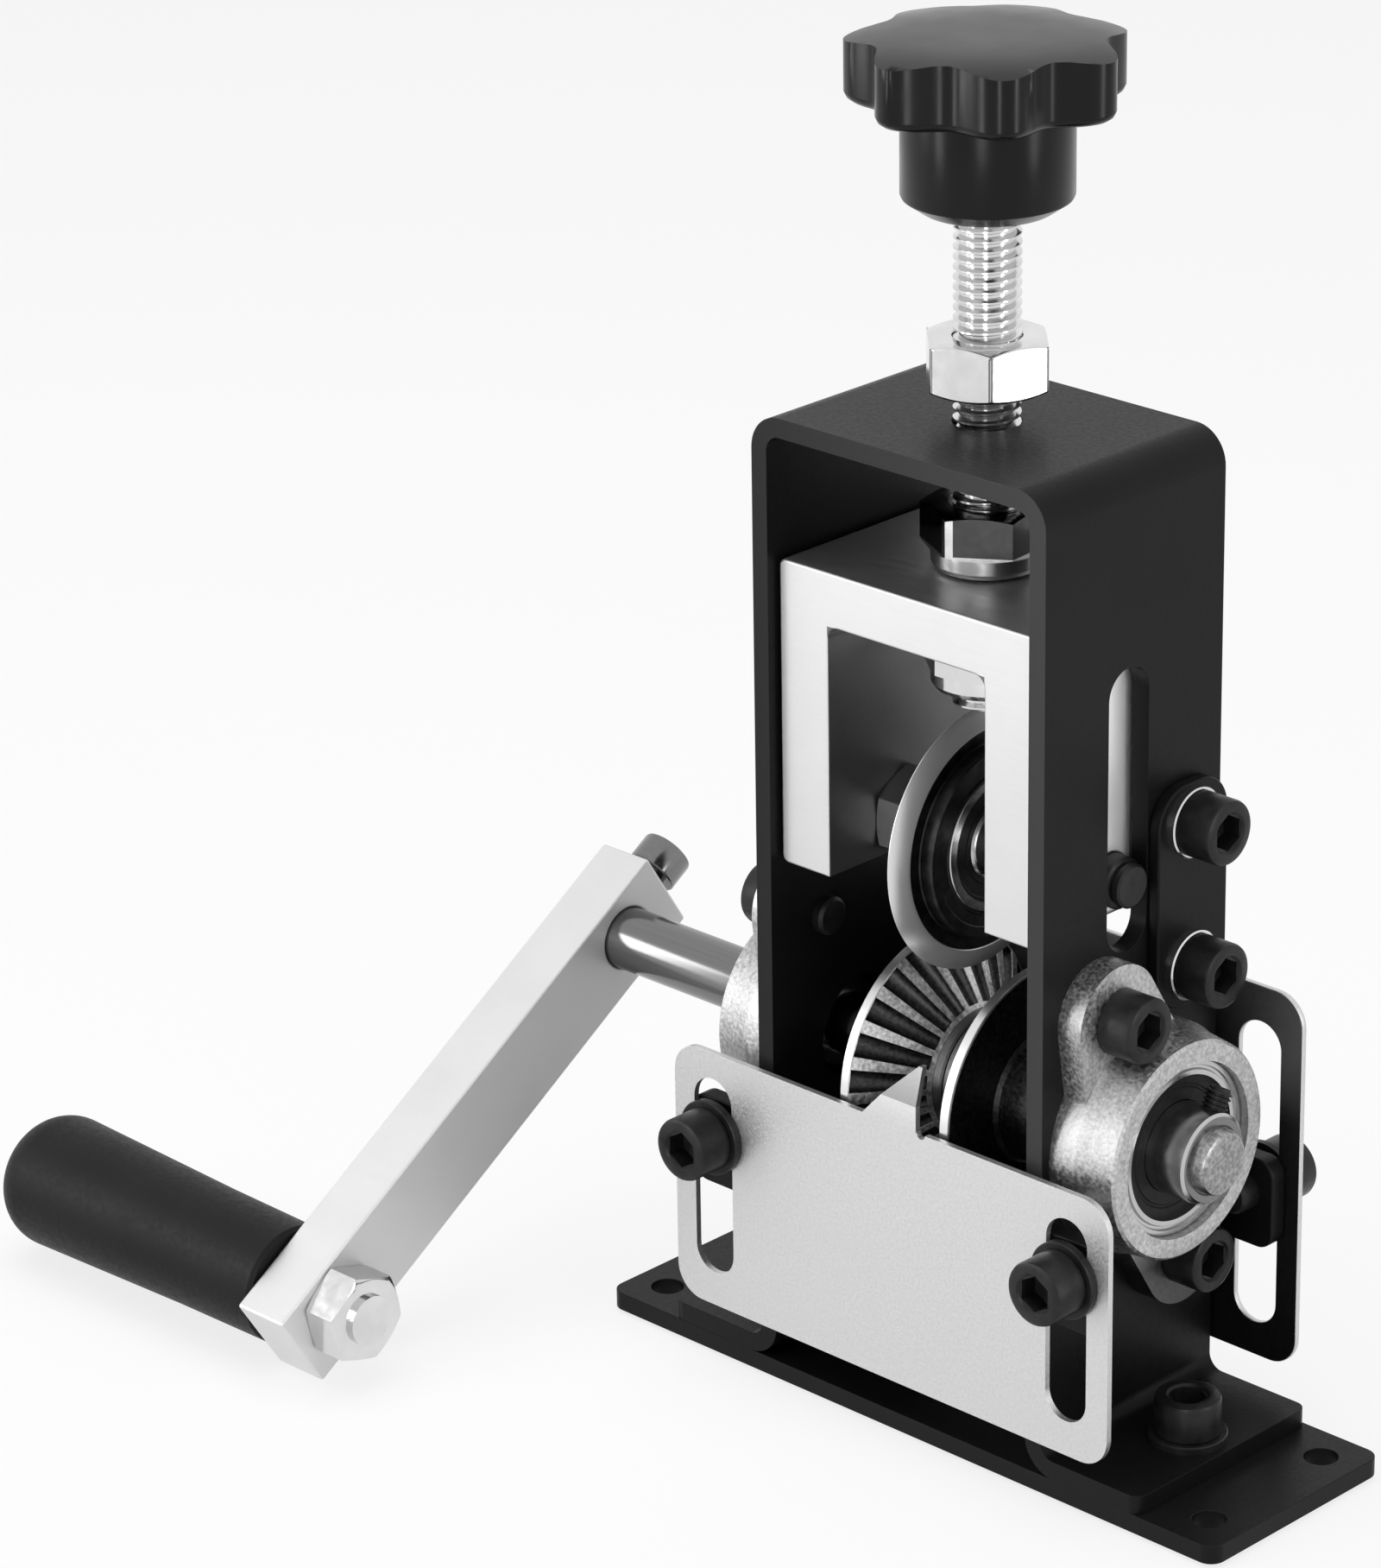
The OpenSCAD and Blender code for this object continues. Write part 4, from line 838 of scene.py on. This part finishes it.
lean = math.radians(20)
ear = Vector((0, -math.sin(lean), math.cos(lean))) * 22.5 * mm
ear_r = 8.5 * mm
ear_thick = 4.3 * mm
screw_seat_r = 5.6 * mm
screw_hole_r = 3.05 * mm
flange_r = 13 * mm
mouth_r = 13.6 * mm
holes_start = 1 * mm
screw_hole_end = 6 * mm
mouth_end = 12 * mm
screw_seat_end = 14 * mm
for hand, side in hands.items():
    mid, out = housing_seat(side)
    flange = rod(f"{hand}_housing", mid, mid + out * ear_thick, flange_r, 96)
    ears = [rod("ear", mid + ear * end, mid + ear * end + out * ear_thick, ear_r, 72) for end in (-1, 1)]
    gathered([flange, *ears])
    bpy.ops.object.mode_set(mode="EDIT")
    bpy.ops.mesh.select_all(action="SELECT")
    bpy.ops.mesh.convex_hull()
    bpy.ops.object.mode_set(mode="OBJECT")
    joined(flange, turned("body", in_mm(
        (0, 0), (0, 17.9), (4.3, 17.9), (5.2, 17.5), (10.9, 16.8), (11.3, 16.4), (11.3, 0)), mid, out))
    for end in (-1, 1):
        spot = mid + ear * end
        cut(flange, rod("seat", spot + out * ear_thick, spot + out * screw_seat_end, screw_seat_r, 48),
            rod("hole", spot - out * holes_start, spot + out * screw_hole_end, screw_hole_r, 48))
    cut(flange, rod("mouth", mid - out * holes_start, mid + out * mouth_end, mouth_r, 96))
    softened(flange, 0.7 * mm, segments=4, angle=30)
    fitted(flange, "root", "cast_zinc", casting, f"{hand}_bearing_housing")
    for word, end in (("low", -1), ("high", 1)):
        screw = socket_screw(f"{hand}_bearing_screw_{word}", mid + ear * end + out * ear_thick, out,
                             length=9 * mm)
        fitted(screw, "root", "black_oxide", oxide, "bearing_screws")

# The bearings in the housings have a grooved outer ring, a black seal and an inner ring whose collar
# is locked to the shaft by a set screw.

set_screw_lean = math.radians(28)
set_screw_way = Vector((0, math.sin(set_screw_lean), math.cos(set_screw_lean)))
set_screw_place = 13.2 * mm
thread = [(5.0, 0), (5.0, 1.7)]
for number in range(7):
    along = 5.2 + 0.7 * number
    thread += [(along, 2.0), (along + 0.2, 2.0), (along + 0.4, 1.65), (along + 0.6, 1.65)]
thread += [(10.3, 1.5), (10.3, 1.15), (9.0, 1.15), (8.7, 0)]
for hand, side in hands.items():
    mid, out = housing_seat(side)
    ring = turned(f"{hand}_outer_race", in_mm(
        (0, 11.2), (9.9, 11.2), (9.9, 11.9), (9.5, 12.1), (9.5, 12.5), (9.9, 12.7), (9.9, 13.3), (9.6, 13.6),
        (0, 13.6), (0, 11.2)), mid, out)
    fitted(ring, "root", "bearing_steel", race, f"{hand}_outer_ring")
    seal = turned(f"{hand}_shaft_seal", in_mm(
        (7.7, 7.1), (8.9, 7.1), (8.9, 8.9), (8.7, 9.1), (8.7, 9.4), (8.9, 9.6), (8.9, 11.2), (7.7, 11.2),
        (7.7, 7.1)), mid, out)
    fitted(seal, "root", "seal_black", sealing, "shaft_seals")
    collar = turned(f"{hand}_inner_race", in_mm(
        (0, 5), (15.9, 5), (16.2, 5.4), (16.2, 6.4), (15.6, 7), (0, 7), (0, 5)), mid, out)
    fitted(collar, "drive", "bearing_steel", race, f"{hand}_inner_ring")
    screw = turned(f"{hand}_collar_screw", in_mm(*thread), mid + out * set_screw_place, set_screw_way, 48)
    fitted(screw, "drive", "black_oxide", oxide, "collar_set_screws")

# The crank arm is a drawn aluminium bar with crisp edges. It sits on the shaft's left end, and a
# small screw in its end face clamps it there.

dip = math.radians(32.6)
arm_x = -80.4 * mm
arm_y = -37.5 * mm
arm_length = 96 * mm
arm_width = 15 * mm
arm_thick = 10 * mm
arm_inner = arm_x + arm_thick / 2
arm_outer = arm_x - arm_thick / 2
bores_start = -87 * mm
bores_end = -74 * mm
shaft_bore = 5.02 * mm
bolt_bore = 4.02 * mm
clamp_seat = 12 * mm
grip_reach = 76 * mm


def on_grip_axis(x):
    """The point of the grip's axis at a place along the shaft."""
    return Vector((x, -grip_reach * math.cos(dip), shaft_height - grip_reach * math.sin(dip)))


arm = slab("crank_bar", (arm_x, arm_y, shaft_height), arm_length, arm_width, arm_thick, "X")
arm.matrix_world = about(shaft_centre, dip, "X")
settled(arm)
cut(arm,
    rod("bore", (bores_start, 0, shaft_height), (bores_end, 0, shaft_height), shaft_bore),
    rod("bore", on_grip_axis(bores_start), on_grip_axis(bores_end), bolt_bore))
softened(arm, 0.5 * mm)
fitted(arm, "drive", "satin_aluminium", milled, "crank_arm")
along_arm = Vector((0, math.cos(dip), math.sin(dip)))
screw = socket_screw("crank_clamp", Vector((arm_x, 0, shaft_height)) + along_arm * clamp_seat, along_arm,
                     length=7 * mm, shank=2.5 * mm, head_r=4.25 * mm, head_h=5 * mm, socket_af=4 * mm)
fitted(screw, "drive", "chrome_steel", bar, "crank_clamp_screw")

# The grip is a matte black sleeve that swells towards its round far end. It turns on a bolt whose nut
# sits on the arm's inner face.

matte = Finish("matte_grip")
matte_grain = matte.noise(1100, 3)
matte.colour(matte.mix(matte.noise(90, 4), grey(0.008), grey(0.013)))
matte.shine(0.12)
matte.rough(matte.ramp(matte_grain, 0.3, 0.7, 0.42, 0.56))
matte.bump(matte_grain, 0.02 * mm)

grip_gap = 0.3 * mm
bend_start = 54.5
bend_centre = 3.8
bend_r = 7
bend_steps = 10
bend_step = math.radians(6.25)
grip_profile = [(0, 4.08), (0, 9.0), (0.6, 9.6), (20, 9.85), (40, 10.4), (bend_start, bend_centre + bend_r)]
for step in range(1, bend_steps + 1):
    bend = bend_step * step
    grip_profile.append((bend_start + bend_r * math.sin(bend), bend_centre + bend_r * math.cos(bend)))
grip_profile += [(60.5, 6.9), (55, 6.9), (55, 4.08), (0, 4.08)]
grip = turned("sleeve_grip", in_mm(*grip_profile), on_grip_axis(arm_outer - grip_gap), (-1, 0, 0))
fitted(grip, "grip", "grip_black", matte, "grip")
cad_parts["grip_bolt"].material_slots[0].material = plated.material
nut = hex_nut("grip_lock_nut", 13 * mm, 6.5 * mm, 4 * mm, on_grip_axis(arm_inner), (1, 0, 0), 14)
fitted(nut, "drive", "chrome_steel", plated, "grip_nut")

# The guide plates are zinc plated sheet with rounded edges and two long slots each. The front one has
# a tab beside the rollers that keeps the cable in the middle, and the rear one is taller.

sheet = Finish("plated_sheet", 0.9)
fine = sheet.noise(2300, 3)
sheet_y = sheet.along("Y")
sheet_z = sheet.along("Z")
# The rear plate's inner face is painted dark, darker towards the bottom: painted shade.
rear_inside = between(sheet_y, 20.9 * mm, 21.04 * mm)
# The upper, bent part of the front plate's tab is painted a darker grey: painted shade.
tab_painted_shade = (sheet_z > 56.7 * mm) * (sheet_y < 0)
pale = sheet.mix(sheet.ramp(fine, 0.3, 0.7), grey(0.58), grey(0.66))
shade = sheet.mix(sheet.ramp(sheet_z, 50 * mm, 70 * mm), grey(0.035), grey(0.22))
sheet.colour(sheet.mix(rear_inside, sheet.mix(tab_painted_shade, pale, grey(0.33)), shade))
sheet.rough(sheet.ramp(fine, 0.3, 0.7, 0.36, 0.5))
sheet.bump(fine, 0.015 * mm)

guide_width = 87 * mm
guide_thick = 1 * mm
guide_corner = 5 * mm
front_y = -21.7 * mm
front_z = 31.3 * mm
front_height = 42.6 * mm
rear_y = 21.5 * mm
rear_z = 40.4 * mm
rear_height = 60.8 * mm
front = slab("front_guide", (0, front_y, front_z), guide_width, front_height, guide_thick, "Y", guide_corner)
tab = slab("tab", (0.6 * mm, front_y, 54.5 * mm), 11 * mm, 4.4 * mm, guide_thick, "Y")
only(tab)
bpy.ops.object.mode_set(mode="EDIT")
chosen(tab, "VERT", lambda p: p.x < 0 and p.z > 55 * mm)
bpy.ops.transform.translate(value=(4.1 * mm, 0, 0))
chosen(tab, "FACE", lambda p: p.z > 56.6 * mm)
extruded((0, 1.55 * mm, 5.9 * mm))
chosen(tab, "VERT", lambda p: p.x < 1 * mm and p.z > 60 * mm)
bpy.ops.transform.translate(value=(6.2 * mm, 0, 0))
bpy.ops.object.mode_set(mode="OBJECT")
joined(front, tab)
relief = Vector((7.1 * mm, front_y, 52.6 * mm))
through = Vector((0, past, 0))
cut(front, rod("relief", relief - through, relief + through, 0.8 * mm, 32))
rear = slab("rear_guide", (0, rear_y, rear_z), guide_width, rear_height, guide_thick, "Y", guide_corner)

guide_slot_x = 35.5 * mm
guide_slot_width = 7.8 * mm
guide_slot_corner = 3.89 * mm
guide_slots = ((front, front_y, 31.95 * mm, 32.7 * mm), (rear, rear_y, 40.3 * mm, 49.4 * mm))
for side in hands.values():
    for guide, y, z, height in guide_slots:
        cut(guide, slab("slot", (side * guide_slot_x, y, z), guide_slot_width, height, guide_thick + past,
                        "Y", guide_slot_corner))
for word, guide in (("front", front), ("rear", rear)):
    softened(guide, 0.3 * mm, segments=3, angle=40)
    fitted(guide, f"{word}_guide", "sheet_steel", sheet, f"{word}_guide_plate")

guide_screw_z = 38.8 * mm
for word, seat_y, outward in (("front", -22.3 * mm, -1), ("rear", 22.1 * mm, 1)):
    for hand, side in hands.items():
        spot = Vector((side * guide_slot_x, seat_y, guide_screw_z))
        guide_washer = washer(f"{word}_guide_washer_{hand}", spot, (0, outward, 0))
        fitted(guide_washer, "root", "black_oxide", oxide, f"{word}_guide_washers")
        screw = socket_screw(f"{word}_guide_screw_{hand}", spot + Vector((0, outward * washer_thick, 0)),
                             (0, outward, 0), length=8.8 * mm)
        fitted(screw, "root", "black_oxide", oxide, f"{word}_guide_screws")

# The side plate is a small coated steel plate with rounded corners on the right leg. Two socket screws
# with thin bright washers hold it.

side_y = 11.25 * mm
side_z = 87.15 * mm
side_width = 15.5 * mm
side_height = 35.1 * mm
side_thick = 2 * mm
side_corner = 6 * mm
side_face = leg_face + side_thick
thin_washer = 0.8 * mm
side_plate = slab("leg_side_plate", (leg_face + side_thick / 2, side_y, side_z), side_width, side_height,
                  side_thick, "X", side_corner)
softened(side_plate, 0.35 * mm)
fitted(side_plate, "root", "powder_black", coat, "side_plate")
for word, screw_z in (("low", 75.85 * mm), ("high", 98.45 * mm)):
    side_washer = washer(f"side_washer_{word}", (side_face, side_y, screw_z), (1, 0, 0),
                         bore=3.1 * mm, outer=5.4 * mm, thick=thin_washer)
    fitted(side_washer, "root", "chrome_steel", plated, "side_plate_washers")
    screw = socket_screw(f"side_screw_{word}", (side_face + thin_washer, side_y, screw_z), (1, 0, 0),
                         length=5.4 * mm)
    fitted(screw, "root", "black_oxide", oxide, "side_plate_screws")

# The floor is plain white paper and catches a soft shadow. It and the world show white to the camera
# and in polished surfaces, and light the object at a lower level.


def looked_at(nodes):
    """1 where the camera or a polished surface looks, and 0 for what lights the object."""
    by_camera = nodes.node("ShaderNodeLightPath", {}, {}, "Is Camera Ray")
    by_mirror = nodes.node("ShaderNodeLightPath", {}, {}, "Is Glossy Ray")
    return nodes.node("ShaderNodeMath", {"operation": "MAXIMUM"}, {0: by_camera, 1: by_mirror})


bpy.ops.object.select_all(action="DESELECT")
bpy.ops.mesh.primitive_plane_add(size=12, location=(0, 0, -0.6 * mm))
floor = bpy.context.active_object
floor.name = "floor"
paper = Finish("white_paper")
paper.colour(grey(0.8))
paper.rough(0.9)
lit_paper = Link(paper, paper.shader.outputs["BSDF"])
white = paper.node("ShaderNodeEmission", {}, {"Strength": 1.0})
shown = paper.node("ShaderNodeMixShader", {}, {0: 0.8 * looked_at(paper), 1: lit_paper, 2: white})
paper.feed(paper.tree.nodes["Material Output"].inputs["Surface"], shown)
floor.data.materials.append(paper.material)

world = bpy.data.worlds.new("studio")
world.use_nodes = True
bpy.context.scene.world = world
sky = Nodes(world.node_tree)
lit = sky.tree.nodes["Background"]
lit.inputs["Color"].default_value = grey(0.8)
lit.inputs["Strength"].default_value = 0.45
lit_sky = Link(sky, lit.outputs["Background"])
white = sky.node("ShaderNodeBackground", {}, {"Color": grey(1.0)})
shown = sky.node("ShaderNodeMixShader", {}, {0: looked_at(sky), 1: lit_sky, 2: white})
sky.feed(sky.tree.nodes["World Output"].inputs["Surface"], shown)

# Big soft lamps stand above, in front to the left, and at the right. Four panels that light nothing
# give the polished pieces their bands of light.


def lamp(name, place, target, width, height, watts, panel=False):
    """A soft lamp that only lights, or a panel that is only seen in polished surfaces."""
    data = bpy.data.lights.new(name, "AREA")
    data.shape = "RECTANGLE"
    data.size = width
    data.size_y = height
    data.energy = watts
    light = bpy.data.objects.new(name, data)
    bpy.context.scene.collection.objects.link(light)
    light.location = place
    light.rotation_euler = (Vector(place) - Vector(target)).to_track_quat("Z", "Y").to_euler()
    light.visible_diffuse = not panel
    light.visible_glossy = panel
    light.visible_camera = False


middle = (0, 0, 0.1)
lamp("top_lamp", (-0.1, -0.1, 1.0), middle, 0.9, 0.9, 8)
lamp("left_lamp", (-0.6, -1.0, 0.45), middle, 0.5, 1.0, 4)
lamp("right_lamp", (1.1, -0.1, 0.5), middle, 0.4, 0.9, 1.5)
panel_distance = 0.45
panel_height = 0.14
for number, bearing in enumerate((-24, 34, 104)):
    aside = panel_distance * math.sin(math.radians(bearing))
    ahead = -panel_distance * math.cos(math.radians(bearing))
    lamp(f"panel_{number}", (aside, ahead, panel_height), (0, 0, panel_height), 0.08, 0.28, 0.4, True)
lamp("shaft_panel", (-0.353, -0.324, 0.16), (-0.06, 0, 0.053), 0.12, 0.22, 0.45, True)

# The camera stands where the photo was taken, in front and to the right, slightly above. Its place,
# direction and focal length were fitted to the photo.

azimuth = math.radians(44.70)
elevation = math.radians(22.13)
roll = math.radians(-0.976)
distance = 894.2 * mm
aim_across = -43.41 * mm
aim_height = 100.27 * mm
focal_px = 7057.3
photo_height_px = 1816
sensor = 36
back = Vector((
    math.sin(azimuth) * math.cos(elevation), -math.cos(azimuth) * math.cos(elevation), math.sin(elevation)))
right = Vector((math.cos(azimuth), math.sin(azimuth), 0))
up = back.cross(right)
level = right * math.cos(roll) + up * math.sin(roll)
upright = up * math.cos(roll) - right * math.sin(roll)
aim = right * aim_across + Vector((0, 0, aim_height))
lens = bpy.data.cameras.new("camera")
lens.lens = focal_px / photo_height_px * sensor
lens.sensor_width = sensor
camera = bpy.data.objects.new("camera", lens)
bpy.context.scene.collection.objects.link(camera)
camera_turn = Matrix((level, upright, back)).transposed().to_4x4()
camera.matrix_world = Matrix.Translation(aim + back * distance) @ camera_turn
bpy.context.scene.camera = camera
bpy.context.scene.view_settings.view_transform = "Standard"
